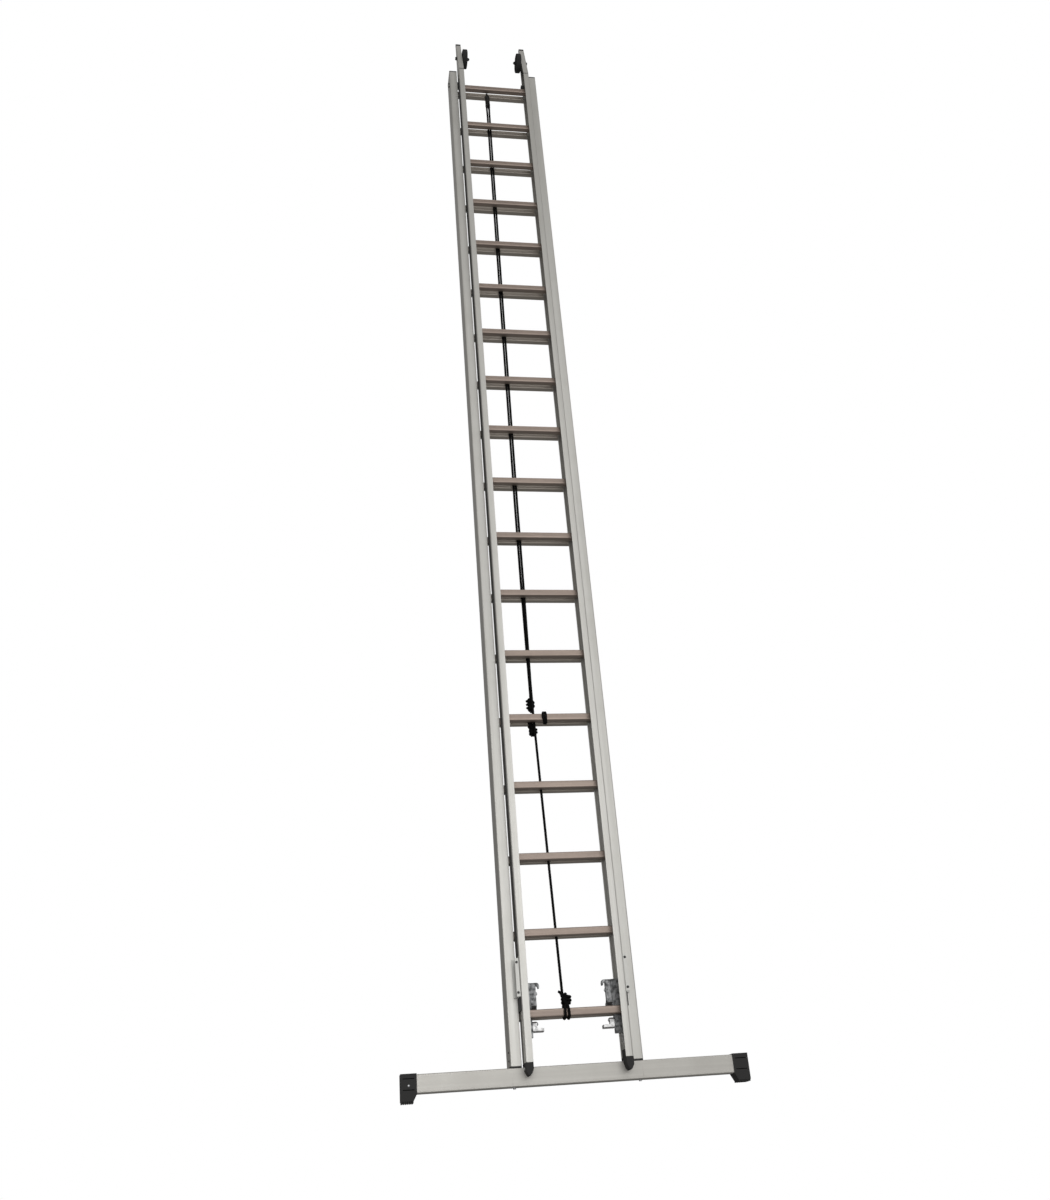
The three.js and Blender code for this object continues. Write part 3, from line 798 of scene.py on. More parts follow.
@dataclass
class LadderSection:
    """One of the two sections: channel stiles, rungs, and the collars that hold them."""

    BODY: ClassVar[str] = ""
    RUNG_FINISH: ClassVar[Finish] = RUNG
    half_width: float
    flange: float
    front: float
    back: float
    bottom: float
    top: float
    rung_y: float
    wall: float = 3.0
    corner: float = 4.5
    lip: float = 1.2
    collar_width: float = 5.0
    collar_swell: float = 1.6

    def channel(self, side: Side, inset: float = 0.0) -> Loop:
        """The stile's section: a web and two flanges with a bead along each free edge.

        Args:
            side: which stile.
            inset: how far every outer face is drawn in.

        Returns:
            The corners of the section in X and Y.
        """
        edge = self.half_width - self.flange
        outer = self.half_width - inset
        front, back = self.front + inset, self.back - inset
        r = self.corner
        arc = [math.radians(a) for a in (0, 22.5, 45, 67.5, 90)]
        loop = [(edge, front)]
        loop += [(outer - r + r * math.sin(a), front + r - r * math.cos(a)) for a in arc]
        loop += [(outer - r + r * math.cos(a), back - r + r * math.sin(a)) for a in arc]
        loop += [(edge, back)]
        bead, inside = self.wall + self.lip, self.half_width - self.wall
        loop += [(edge, back - bead), (edge + 4, back - bead), (edge + 6, back - self.wall)]
        loop += [(inside, back - self.wall), (inside, front + self.wall)]
        loop += [(edge + 6, front + self.wall), (edge + 4, front + bead), (edge, front + bead)]
        return [(side.value * x, y) for x, y in loop]

    def filled(self, side: Side, inset: float = 0.0) -> Loop:
        """The stile's outline with its channel filled, for plugs.

        Args:
            side: which stile.
            inset: how far the outline is drawn in.

        Returns:
            The corners of the outline in X and Y.
        """
        inner, outer = self.half_width - self.flange + inset, self.half_width - inset
        front, back = self.front + inset, self.back - inset
        cut = 3.0
        loop = [(inner, front), (outer - cut, front), (outer, front + cut),
                (outer, back - cut), (outer - cut, back), (inner, back)]
        return [(side.value * x, y) for x, y in loop]

    def make_rungs(self) -> None:
        """Builds the grooved rungs in place of the plain CAD ones."""
        outer, inner = RUNGS.loops()
        reach = self.half_width - self.wall - 0.3
        for number in range(1, RUNGS.count + 1):
            at = (self.rung_y, RUNGS.level(number))
            made = hollow(shifted(outer, *at), shifted(inner, *at), Axis.X, -reach, reach)
            node = f"{self.BODY}_rung_{number:02d}"
            grooved = made.piece(f"{node}_grooved", self.RUNG_FINISH, self.BODY, sharp=24)
            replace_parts(grooved, node)
        log.info("%s: %d grooved rungs", self.BODY, RUNGS.count)

    def make_collars(self) -> None:
        """Builds the flared collars where each rung meets the stiles' webs."""
        flare = RUNGS.loops(self.collar_swell)[0]
        plain = rounded(RUNGS.depth, RUNGS.height, RUNGS.corner)
        tight = rounded(RUNGS.depth + self.collar_swell, RUNGS.height + self.collar_swell,
                        RUNGS.corner + self.collar_swell / 2)
        reach = self.half_width - self.wall - 0.3
        for side in Side:
            collars = Shape()
            for number in range(1, RUNGS.count + 1):
                at = (self.rung_y, RUNGS.level(number))
                collars.take(
                    hollow(shifted(flare, *at), shifted(plain, *at), Axis.X,
                           side.value * (reach - self.collar_width * 0.6), side.value * reach),
                    hollow(shifted(tight, *at), shifted(plain, *at), Axis.X,
                           side.value * (reach - self.collar_width),
                           side.value * (reach - self.collar_width * 0.6)))
            collars.piece(f"{self.BODY}_collars_{side.word}", self.RUNG_FINISH, self.BODY)
        log.info("%s: %d collars", self.BODY, 2 * RUNGS.count)


@dataclass
class BaseSection(LadderSection):
    """The outer, rear section, which stands on the crossbar and carries the pulley."""

    BODY: ClassVar[str] = "base"
    # The base's rungs and collars take the lighter copy of the rung aluminium: painted light for
    # the light on their undersides.
    RUNG_FINISH: ClassVar[Finish] = PAINTED_LIT_RUNG
    cap: float = 9.0
    shoe: float = 5.0
    guide_bolts: tuple[float, float] = (5074.0, 5098.0)
    guide_bolt_y: float = 8.0
    foot_rivets: tuple[float, float] = (24.0, 52.0)
    foot_rivet_y: float = 2.0
    sleeve_from: float = 183.0
    sleeve_to: float = 203.0
    sleeve_thick: float = 2.2

    def make_stiles(self) -> None:
        """Builds the two channel stiles with their end plugs."""
        for side in Side:
            node = f"base_stile_{side.word}"
            stile = prism(self.channel(side), Axis.Z, self.bottom + self.shoe, self.top - self.cap)
            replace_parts(stile.piece(f"{node}_channel", STILE, "base", 0.3), node)
            ends = Shape().take(
                prism(self.filled(side), Axis.Z, self.top - self.cap, self.top - 1.5),
                prism(self.filled(side, 1.5), Axis.Z, self.top - 1.5, self.top),
                prism(self.filled(side, 0.4), Axis.Z, self.bottom, self.bottom + self.shoe))
            ends.piece(f"base_plugs_{side.word}", PLASTIC, "base", 0.8)
        log.info("base: two stiles with plugs at both ends")

    def make_sleeves(self) -> None:
        """Builds the open-fronted black sleeves near the ends of each rung."""
        half_y, half_z = RUNGS.depth / 2 + 0.2, RUNGS.height / 2 + 0.2
        thick, r = self.sleeve_thick, RUNGS.corner
        ring_out = [(-half_y + 3, half_z + thick), (half_y - r, half_z + thick),
                    (half_y + thick, half_z - r), (half_y + thick, r - half_z),
                    (half_y - r, -half_z - thick), (-half_y + 3, -half_z - thick)]
        ring_in = [(-half_y + 3, -half_z), (half_y - r, -half_z), (half_y, r - half_z),
                   (half_y, half_z - r), (half_y - r, half_z), (-half_y + 3, half_z)]
        for side in Side:
            sleeves = Shape()
            for number in range(1, RUNGS.count + 1):
                loop = shifted([*ring_out, *ring_in], self.rung_y, RUNGS.level(number))
                sleeves.take(prism(loop, Axis.X, side.value * self.sleeve_from,
                                   side.value * self.sleeve_to))
            sleeves.piece(f"rung_sleeves_{side.word}", PLASTIC, "base", 0.5)
        log.info("base: %d rung sleeves", 2 * RUNGS.count)

    def make_fittings(self) -> None:
        """Dresses the top guides and adds their bolts and the rivets at the foot of each stile."""
        for side in Side:
            dress_node(f"top_guide_{side.word}", PLASTIC, 0.8)
            away = (side.value, 0.0, 0.0)
            web = side.value * self.half_width
            bolts = Shape()
            for z in self.guide_bolts:
                bolts.take(fastener(Head.HEX, (web, self.guide_bolt_y, z), away, 4.5))
            for lift in self.foot_rivets:
                at = (web, self.foot_rivet_y, self.bottom + lift)
                bolts.take(fastener(Head.RIVET, at, away, 4.0))
            bolts.piece(f"base_bolts_{side.word}", BLACK_METAL, "base")
        log.info("base: top guides and bolts")

    def build(self) -> None:
        """Builds the whole section."""
        self.make_stiles()
        self.make_rungs()
        self.make_collars()
        self.make_sleeves()
        self.make_fittings()


@dataclass
class FlySection(LadderSection):
    """The inner, front section, with bevelled tips, shoes, guides and roller axles."""

    BODY: ClassVar[str] = "fly"
    bevel_from: float = 5120.0
    tip_depth: float = 14.0
    cap: float = 17.0
    fold: float = 3.5
    shoe_toe: float = 58.0
    shoe_clear: float = 93.0
    bar_front: float = -26.0
    axle_y: float = -24.0
    axle_z: float = 5265.0
    axle_inner: float = 131.0
    roller_faces: tuple[float, float] = (136.0, 161.0)
    strip_thick: float = 2.0
    strip_gap: float = 0.1
    strip_y: tuple[float, float] = (-62.0, -30.0)
    strip_z: tuple[float, float] = (460.0, 5060.0)
    guide_bolt_x: float = 198.5
    guide_face_y: float = -66.0
    guide_bolts: tuple[float, float] = (334.0, 438.0)
    runner_x: tuple[float, float] = (191.0, 196.4)
    runner_y: tuple[float, float] = (-60.0, -14.0)
    runner_z: tuple[float, float] = (272.0, 319.0)

    def bevel(self) -> tuple[Point, Point]:
        """A point of the plane that slopes the tips back, and the side that is cut off."""
        rise = self.top - self.bevel_from
        run = self.back - self.tip_depth - self.front
        return (0.0, self.front, self.bevel_from), (0.0, -rise, run)

    def make_stiles(self) -> None:
        """Builds the two channel stiles, bevelled at the tip, with their plugs and a thin black
        strip along each outer web.
        """
        for side in Side:
            node = f"fly_stile_{side.word}"
            stile = prism(self.channel(side), Axis.Z, self.bottom, self.top - self.cap)
            stile.cut_above(*self.bevel())
            inner, outer = self.half_width - self.flange, self.half_width
            high, back = self.top - self.cap, self.back - self.tip_depth
            rise = (back - self.front) / (self.top - self.bevel_from)
            ends = [(self.front + rise * (z - self.bevel_from), z)
                    for z in (self.bevel_from, high)]
            fold = [*ends, (ends[1][0] + self.fold, high), (self.front + self.fold, ends[0][1])]
            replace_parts(stile.piece(f"{node}_channel", STILE, "fly", 0.3), node)
            slope = prism(fold, Axis.X, side.value * inner, side.value * (outer - self.wall / 2))
            slope.piece(f"fly_tip_fold_{side.word}", STILE, "fly")
            tip = prism(self.filled(side), Axis.Z, high, self.top)
            tip.cut_above(*self.bevel())
            tip.piece(f"fly_tip_plug_{side.word}", PLASTIC, "fly", 0.8)
            # A thin black strip stands just outside each stile's web, along most of its length.
            near = outer + self.strip_gap
            strip = block((side.value * near, side.value * (near + self.strip_thick)),
                          self.strip_y, self.strip_z)
            strip.piece(f"fly_slide_strip_{side.word}", PLASTIC, "fly", 0.4)
        log.info("fly: two stiles with bevelled tips")

    def make_shoes(self) -> None:
        """Builds the black shoes under the stiles, whose toes hang in front of the crossbar."""
        for side in Side:
            inner, outer = self.half_width - self.flange, self.half_width
            toe = [(inner, self.bottom), (outer, self.bottom), (outer, 76.0), (outer - 7, 62.0),
                   (outer - 13, self.shoe_toe), (inner + 6, 66.0), (inner, 82.0)]
            heel = [(inner, self.shoe_clear), (outer, self.shoe_clear),
                    (outer, self.bottom), (inner, self.bottom)]
            shoe = prism([(side.value * x, z) for x, z in toe], Axis.Y,
                         self.front, self.bar_front)
            shoe.take(prism([(side.value * x, z) for x, z in heel], Axis.Y,
                            self.bar_front, self.back))
            shoe.take(prism(self.filled(side, 3.4), Axis.Z, self.bottom - 1, self.bottom + 26))
            shoe.piece(f"fly_shoe_{side.word}", RUBBER, "fly", 1.2)
            rivets = Shape()
            at = (side.value * outer, self.front + 30, 84.0)
            rivets.take(fastener(Head.RIVET, at, (side.value, 0.0, 0.0), 5.0))
            rivets.piece(f"fly_shoe_rivets_{side.word}", ZINC, "fly")
        log.info("fly: two shoes")

    def make_axles(self) -> None:
        """Builds the axles of the wall rollers, with a cap nut inside and a bolt head outside."""
        for side in Side:
            sign = side.value
            inward, outward = (-sign, 0.0, 0.0), (sign, 0.0, 0.0)
            web = self.half_width
            length = web - self.axle_inner
            at = (sign * web, self.axle_y, self.axle_z)
            axle = turned([(0, 0), (5.9, 0), (5.9, length), (0, length)], at, inward, 24)
            step = self.roller_faces[1] + 0.6
            spacer = turned([(6.1, 0), (11, 0), (11, web - 3.2 - step), (6.1, web - 3.2 - step)],
                            (sign * step, self.axle_y, self.axle_z), outward, 24, True)
            nut_at = (sign * (self.roller_faces[0] - 0.6), self.axle_y, self.axle_z)
            axle.take(spacer, fastener(Head.CAP_NUT, nut_at, inward, 8.0),
                      fastener(Head.HEX, at, outward, 8.0))
            axle.piece(f"roller_axle_{side.word}", BLACK_METAL, "fly", 0.3)
        log.info("fly: two roller axles")

    def make_guides(self) -> None:
        """Dresses the lower guides and adds their bolts and black runners."""
        for side in Side:
            sign = side.value
            dress_node(f"lower_guide_{side.word}", GUIDE, 0.7)
            bolts = Shape()
            for z in self.guide_bolts:
                at = (sign * self.guide_bolt_x, self.guide_face_y, z)
                bolts.take(fastener(Head.HEX, at, (0.0, -1.0, 0.0), 3.0))
            bolts.piece(f"lower_guide_bolts_{side.word}", BLACK_METAL, "fly")
            x = (sign * self.runner_x[0], sign * self.runner_x[1])
            runner = block(x, self.runner_y, self.runner_z)
            runner.piece(f"lower_runner_{side.word}", PLASTIC, "fly", 1.0)
        log.info("fly: lower guides, bolts and runners")

    def build(self) -> None:
        """Builds the whole section."""
        self.make_stiles()
        self.make_rungs()
        self.make_collars()
        self.make_shoes()
        self.make_axles()
        self.make_guides()


@dataclass
class Crossbar:
    """The wide bar under the base, with its end feet and the bolts of the stiles."""

    front: float = -24.0
    back: float = 26.0
    low: float = 29.0
    high: float = 91.0
    foot_inner: float = 562.0
    foot_outer: float = 618.0
    foot_top: float = 93.5
    foot_side: float = 4.0
    slant: float = 12.0
    treads: int = 6
    sole: float = 6.0
    bolt_x: float = 224.0
    saddle_x: float = 232.0
    saddle_half: float = 1.1
    rib_low: float = 40.0
    rib_pitch: float = 36.0
    rib_thick: float = 3.0
    rivet_z: float = 55.0

    def make_bar(self) -> None:
        """Dresses the bar and adds the stiles' saddle seams and bolts."""
        dress_node("crossbar", BAR, 1.2)
        under = Shape()
        for side in Side:
            under.take(fastener(Head.HEX, (side.value * self.bolt_x, 1.0, self.low),
                                (0.0, 0.0, -1.0), 4.5))
        under.piece("bar_bolts", ZINC, "base")
        seams = Shape()
        for side in Side:
            x = side.value * self.saddle_x
            loop = rounded(self.back - self.front + 1.0, self.high - self.low + 1.0, 4.5)
            hole = rounded(self.back - self.front - 0.4, self.high - self.low - 0.4, 4.0)
            at = ((self.front + self.back) / 2, (self.low + self.high) / 2)
            seams.take(hollow(shifted(loop, *at), shifted(hole, *at), Axis.X,
                              x - self.saddle_half, x + self.saddle_half))
        seams.piece("bar_saddle_edges", BAR, "base")
        log.info("crossbar: bar, saddle edges and bolts")

    def make_feet(self) -> None:
        """Builds the moulded end feet, with treaded soles, over the CAD ones."""
        y0, y1 = self.front - self.foot_side, self.back + self.foot_side
        for side in Side:
            sign = side.value
            inner, outer = self.foot_inner, self.foot_outer
            profile = [(inner, self.low - 1), (inner + self.slant, self.sole),
                       (outer, self.sole), (outer, self.foot_top), (inner, self.foot_top)]
            body = prism([(sign * x, z) for x, z in profile], Axis.Y, y0, y1)
            width = (outer - inner - self.slant) / self.treads
            for n in range(self.treads):
                x = inner + self.slant + n * width
                body.take(block((sign * (x + 0.6), sign * (x + width - 1.6)),
                                (y0 + 1, y1 - 1), (0.0, self.sole + 1)))
            low, high = self.rib_low, self.rib_low + self.rib_thick
            rib = [(inner + 8, low), (outer - 8, low), (outer - 8, high), (inner + 8, high)]
            for lift in (0.0, self.rib_pitch):
                body.take(prism([(sign * x, z + lift) for x, z in rib], Axis.Y,
                                y0, y0 + 0.5))
            foot = body.piece(f"bar_foot_{side.word}", RUBBER, "base", 1.6)
            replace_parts(foot, f"crossbar_foot_{side.word}")
            way = -1.0 if side is Side.LEFT else 1.0
            at = (sign * (inner + outer) / 2, y0 + 1.6 if way < 0 else y1 - 1.6, self.rivet_z)
            rivet = fastener(Head.RIVET, at, (0.0, way, 0.0), 4.6)
            rivet.piece(f"foot_rivet_{side.word}", ZINC, "base")
        log.info("crossbar: two feet")

    def build(self) -> None:
        """Builds the bar and its feet."""
        self.make_bar()
        self.make_feet()


@dataclass
class RungLock:
    """One automatic lock: casting, hook, trip finger, return spring and brace."""

    side: Side
    inner: float = 148.5
    pin_y: float = -8.0
    hook_pin_z: float = 335.0
    finger_pin_z: float = 232.0
    hook_head_x: float = 126.0
    finger_head_x: float = 130.0
    rivets: tuple[float, ...] = (204.0, 286.0, 356.0)
    rivet_y: float = -12.0
    spring_x: tuple[float, float] = (149.5, 155.0)
    spring_rise: float = 28.0
    spring_radius: float = 6.2
    wire: float = 0.9
    brace_start: tuple[float, float] = (150.0, 152.0)
    brace_reach: tuple[float, float] = (25.0, 60.0)
    brace_half: float = 1.6
    brace_y: tuple[float, float] = (-14.5, -6.0)

    def coil(self, start: float, end: float, z: float, turns: int = 5) -> Shape:
        """A torsion spring's wire, wound round a pin along X.

        Args:
            start: X of its first turn.
            end: X of its last turn.
            z: height of the pin.
            turns: number of turns.

        Returns:
            The wire's shape.
        """
        sign = self.side.value
        points = []
        for n in range(turns * 12 + 1):
            angle = 2 * math.pi * n / 12
            points.append((sign * (start + (end - start) * n / (turns * 12)),
                           self.pin_y + self.spring_radius * math.cos(angle),
                           z + self.spring_radius * math.sin(angle)))
        return twisted(smooth_path(points, 1.6), self.wire, 40.0, 8)

    def brace(self) -> Shape:
        """The curved strap that sweeps from the casting down into the stile's channel."""
        outer, inner = [], []
        for n in range(13):
            angle = math.pi / 2 * n / 12
            x = self.brace_start[0] + self.brace_reach[0] * math.sin(angle)
            z = self.brace_start[1] + self.brace_reach[1] * math.cos(angle)
            outer.append((self.side.value * (x + self.brace_half), z + self.brace_half))
            inner.append((self.side.value * (x - self.brace_half), z - self.brace_half))
        return prism([*outer, *reversed(inner)], Axis.Y, *self.brace_y)

    def build(self) -> None:
        """Dresses the lock's CAD parts and adds what they leave out."""
        word, sign = self.side.word, self.side.value
        dress_node(f"lock_body_{word}", CAST, 0.8)
        dress_node(f"lock_hook_{word}", CAST, 0.9)
        dress_node(f"trip_finger_{word}", BRIGHT_CAST, 0.9)
        self.brace().piece(f"lock_brace_{word}", BRIGHT_CAST, "fly", 0.4)
        spring = self.coil(*self.spring_x, self.finger_pin_z + self.spring_rise)
        spring.piece(f"lock_spring_{word}", ZINC, "fly")
        pins = Shape()
        for x, z in ((self.hook_head_x, self.hook_pin_z), (self.finger_head_x, self.finger_pin_z)):
            at = (sign * x, self.pin_y, z)
            pins.take(turned([(0, -1.2), (6.2, -1.2), (6.2, 0.4), (0, 0.4)], at,
                             (sign, 0.0, 0.0), 20))
            pins.take(fastener(Head.RIVET, (sign * (x - 1.0), self.pin_y, z),
                               (-sign, 0.0, 0.0), 4.2))
        pins.piece(f"lock_pin_heads_{word}", ZINC, "fly", 0.2)
        bolts = Shape()
        for z in self.rivets:
            bolts.take(fastener(Head.RIVET, (sign * self.inner, self.rivet_y, z),
                                (-sign, 0.0, 0.0), 2.4))
        bolts.piece(f"lock_body_rivets_{word}", ZINC, "fly")
        log.info("rung lock %s", word)


@dataclass
class WallRoller:
    """A rubber-tyred wheel at the tip of the fly."""

    side: Side
    radius: float = 50.0
    faces: tuple[float, float] = (136.0, 161.0)
    y: float = -24.0
    z: float = 5265.0
    bore: float = 6.3
    hub: float = 14.3
    rim: float = 41.0
    ribs: int = 6

    def build(self) -> None:
        """Builds the tyre and the ribbed wheel in place of the plain CAD wheel."""
        word, sign = self.side.word, self.side.value
        half = (self.faces[1] - self.faces[0]) / 2
        centre = (sign * (self.faces[0] + half), self.y, self.z)
        r, grooves = self.radius, []
        for h in (-6.0, 0.0, 6.0):
            grooves += [(r, h - 0.9), (r - 1.2, h - 0.5), (r - 1.2, h + 0.5), (r, h + 0.9)]
        tyre = [(self.rim, -half), (r - 3, -half), (r - 0.9, -half + 1.2), (r, -half + 3.2),
                *grooves, (r, half - 3.2), (r - 0.9, half - 1.2), (r - 3, half),
                (self.rim, half)]
        web = 3.0
        wheel = [(self.bore, -half), (self.hub, -half), (self.hub + 1.5, -web),
                 (self.rim - 3, -web), (self.rim - 1.5, -half + 0.6), (self.rim - 0.1, -half + 0.6),
                 (self.rim - 0.1, half - 0.6), (self.rim - 1.5, half - 0.6), (self.rim - 3, web),
                 (self.hub + 1.5, web), (self.hub, half), (self.bore, half)]
        along = (1.0, 0.0, 0.0)
        outside = turned(tyre, centre, along, 72, True)
        made = outside.piece(f"roller_tyre_{word}", RUBBER, f"roller_{word}")
        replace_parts(made, f"wall_roller_{word}")
        inside = turned(wheel, centre, along, 64, True)
        for n in range(self.ribs):
            angle = 2 * math.pi * n / self.ribs
            out = Vector((0.0, math.cos(angle), math.sin(angle)))
            over = Vector((0.0, -math.sin(angle), math.cos(angle))) * 1.6
            corners = []
            for x in (-half + 2.5, half - 2.5):
                for reach, turn in ((self.hub - 1, 1), (self.rim - 1, 1),
                                    (self.rim - 1, -1), (self.hub - 1, -1)):
                    at = Vector(centre) + Vector((x, 0, 0)) + out * reach + over * turn
                    corners.append(tuple(at))
            sides = [(i, (i + 1) % 4, (i + 1) % 4 + 4, i + 4) for i in range(4)]
            inside.take(Shape(corners, [*sides, (0, 1, 2, 3), (4, 5, 6, 7)]))
        inside.piece(f"roller_wheel_{word}", PLASTIC, f"roller_{word}", 0.4)
        log.info("wall roller %s", word)


@dataclass
class Pulley:
    """The rope's pulley under the top rung of the base, with its strap round the rung."""

    x: float = -36.0
    y: float = -2.8
    z: float = 4935.0
    turn: float = 55.0
    bore: float = 2.9
    rim: float = 12.0
    pitch_radius: float = 9.5
    groove: float = 5.15
    cheek_face: float = 9.5
    rung_y: float = 17.5
    strap_half: float = 5.0
    strap_thick: float = 2.0

    def axle(self) -> Point:
        """The direction of the sheave's axle."""
        angle = math.radians(self.turn)
        return (math.sin(angle), math.cos(angle), 0.0)

    def build(self) -> None:
        """Builds the sheave and the strap, and dresses the yoke."""
        dress_node("pulley_yoke", BLACK_METAL, 0.5)
        profile = [(self.bore, -6.9), (self.rim - 0.5, -6.9), (self.rim, -6.4)]
        groove = [(self.pitch_radius - self.groove * math.cos(a), self.groove * math.sin(a))
                  for a in np.linspace(-1.3, 1.3, 11)]
        profile += [*groove, *[(r, -h) for r, h in reversed(profile)]]
        made = turned(profile, (self.x, self.y, self.z), self.axle(), 40, True)
        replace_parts(made.piece("sheave_wheel", PLASTIC, "sheave"), "pulley_sheave")
        at = (self.rung_y, RUNGS.level(RUNGS.count))
        gap, thick = 0.4, self.strap_thick
        band = [shifted(rounded(RUNGS.depth + 2 * s, RUNGS.height + 2 * s, RUNGS.corner + s), *at)
                for s in (gap + thick, gap)]
        x0, x1 = self.x - self.strap_half, self.x + self.strap_half
        hollow(*band, Axis.X, x0, x1).piece("pulley_strap", BLACK_METAL, "base", 0.4)
        pin = Shape()
        for way in (-1.0, 1.0):
            out = Vector(self.axle()) * way
            face = Vector((self.x, self.y, self.z)) + out * self.cheek_face
            pin.take(fastener(Head.RIVET, tuple(face), tuple(out), 3.4))
        pin.piece("pulley_pin_heads", BLACK_METAL, "base")
        log.info("pulley: sheave, yoke and strap")


@dataclass
class HoistingRope:
    """The black rope: a lifting strand, a hauling strand, and the knots at their ends."""

    radius: float = 5.0
    lay: float = 34.0
    step: float = 3.0
    travel: float = 4360.0
    pulley: Pulley = field(default_factory=Pulley)
    lifting_run: tuple[Point, ...] = (
        (-31.5, -8, 4860), (-36.5, -7, 4300), (-43.5, -7, 3500), (-51.5, -7, 2400),
        (-53.5, -11.3, 2000), (-57, -11.3, 1540), (-56, -11.3, 1400), (-31, -8.5, 300))
    hauling_run: tuple[Point, ...] = (
        (-42.1, -4, 4860), (-47.1, -6, 4300), (-54.1, -6, 3500), (-62.1, -6, 2400),
        (-62, -1.1, 2000), (-60, -1.1, 1500), (-60, 3, 1470), (-61, 6.5, 1425))

    def on_sheave(self, angle: float, drop: float = 0.0) -> Point:
        """A point of the rope's middle on the sheave, or straight below it.

        Args:
            angle: 0 on the lifting side, pi on the hauling side.
            drop: distance below the point on the sheave.

        Returns:
            The point.
        """
        across = self.pulley.pitch_radius * math.cos(angle)
        turn = math.radians(self.pulley.turn)
        return (self.pulley.x + across * math.cos(turn), self.pulley.y - across * math.sin(turn),
                self.pulley.z + self.pulley.pitch_radius * math.sin(angle) - drop)

    def strand(self, name: str, line: np.ndarray, body: str) -> bpy.types.Object:
        """A length of the rope along a line.

        Args:
            name: the piece's name.
            line: evenly spaced points of its middle.
            body: the CAD body it moves with.

        Returns:
            The new object.
        """
        return twisted(line, self.radius, self.lay).piece(name, ROPE, body, sharp=80)

    def turns(self, centre: Point, radius: float, low: float, high: float, count: float,
              start: float = 0.0, flat: float = 1.0) -> list[Point]:
        """Points of turns wound round an upright line.

        Args:
            centre: a point of the line.
            radius: radius of the turns.
            low: height where they start.
            high: height where they end.
            count: number of turns.
            start: angle of the first point, in turns.
            flat: depth of the turns along Y, as a share of their width.

        Returns:
            The points, ten to a turn.
        """
        steps = round(count * 10)
        found = []
        for n in range(steps + 1):
            angle = 2 * math.pi * (start + count * n / steps)
            found.append((centre[0] + radius * math.cos(angle),
                          centre[1] + radius * flat * math.sin(angle),
                          low + (high - low) * n / steps))
        return found

    def make_lifting(self) -> None:
        """Builds the strand from the pulley down to the lowest rung of the fly, with its knot."""
        top, low = self.on_sheave(0.0, self.radius / 4), self.lifting_run[-1]
        line = even_path([top, *self.lifting_run], self.step)
        strand = self.strand("rope_lifting", line, "base")
        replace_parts(strand, "rope_lifting_strand")
        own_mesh(strand)
        knot = self.strand("rope_fly_knot", smooth_path(self.fly_knot(low), 2.4), "fly")

    def fly_knot(self, low: Point) -> list[Point]:
        """The knot that ties the lifting strand round the lowest rung of the fly.

        Args:
            low: the lower end of the strand.

        Returns:
            The points that the rope passes.
        """
        x, y, z = low
        back, front, under, over = -11.8, -49.3, 243.8, 282.2
        first = [(x, y, z + 14), (x, y, z - 6), (x - 2, back, 276), (x - 3, back, 254),
                 (x - 3, -20, under), (x - 3, -38, under), (x - 3, front, 251),
                 (x - 2, front, 270), (x, -44, over), (x + 6, -26, 289)]
        coil = [*self.turns((x + 4, y - 1, 0), 7.4, 292, 330, 3.2, 0.9),
                *self.turns((x + 12, y - 1, 0), 15.0, 326, 296, 2.6, 0.3, 0.42)]
        second = [(x + 20, -14, 300), (x + 16, back, 290),
                  (x + 13, back, 276), (x + 12, back, 254), (x + 12, -20, under),
                  (x + 12, -38, under), (x + 12, front, 252), (x + 11, front, 270),
                  (x + 10, -44, over), (x + 9, -30, 290), (x + 4, -21, 300),
                  (x - 3, -18, 318), (x - 9, -19, 332), (x - 17, -19, 338)]
        return [*first, *coil, *second]

    def make_hauling(self) -> None:
        """Builds the strand over the sheave and down to its knot on the fifth rung of the base."""
        bend = [self.on_sheave(math.pi * n / 14) for n in range(15)]
        line = even_path([*bend, *self.hauling_run], self.step)
        strand = self.strand("rope_hauling", line, "base")
        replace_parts(strand, "rope_hauling_strand")
        end = self.hauling_run[-1]
        knot = self.strand("rope_base_knot", smooth_path(self.base_knot(end), 2.4), "base")
        self.strand("rope_tail_hitch", smooth_path(self.tail_hitch(), 2.4), "fly")

    def base_knot(self, end: Point) -> list[Point]:
        """The knots above and below the fifth rung of the base, and the turns round it.

        Args:
            end: the lower end of the hauling strand.

        Returns:
            The points that the rope passes.
        """
        x, y, z = end
        rung = RUNGS.level(5)
        front, back, tall = -1.2, 36.2, 19.2
        upper = [(x, y, z + 10), (x, y, z - 2), (x + 6, y, z + 1),
                 *self.turns((x, y, 0), 7.6, z + 4, z + 52, 4.6, 0.1),
                 *self.turns((x, y + 2, 0), 13.5, z + 48, z + 12, 2.4, 0.4, 0.7)]
        round_rung = []
        for n in range(2):
            at = x + 7 - 11 * n
            round_rung += [(at, front, rung + 9), (at, front, rung - 9), (at - 2, 8, rung - tall),
                           (at - 4, 26, rung - tall), (at - 5, back, rung - 8),
                           (at - 6, back, rung + 8), (at - 8, 26, rung + tall),
                           (at - 10, 8, rung + tall)]
        lower = [(x - 15, front, rung + 5), (x - 13, front, rung - 12), (x - 8, 4, rung - 22),
                 *self.turns((x + 1, y, 0), 7.6, rung - 26, rung - 54, 2.8, 0.55),
                 *self.turns((x + 3, y + 2, 0), 13.5, rung - 56, rung - 30, 2.2, 0.2, 0.7),
                 (x - 4, y, rung - 64)]
        return [*upper, *round_rung, *lower]

    def tail_hitch(self) -> list[Point]:
        """The loop of the rope's tail round the fifth rung of the fly."""
        rung = RUNGS.level(5)
        back, front, tall = -11.8, -49.2, 19.2
        ring = [(-17, back, 12), (-18, -20, tall), (-21, -40, tall), (-24, front, 9),
                (-23, front, -8), (-19, -40, -tall), (-16, -20, -tall), (-14, back, -9),
                (-12, back, 9), (-12, -21, tall), (-13, -40, tall), (-13, front, 9),
                (-13, front, -8), (-12, -42, -tall), (-12, -30, -26)]
        return [(x, y, rung + z) for x, y, z in ring]

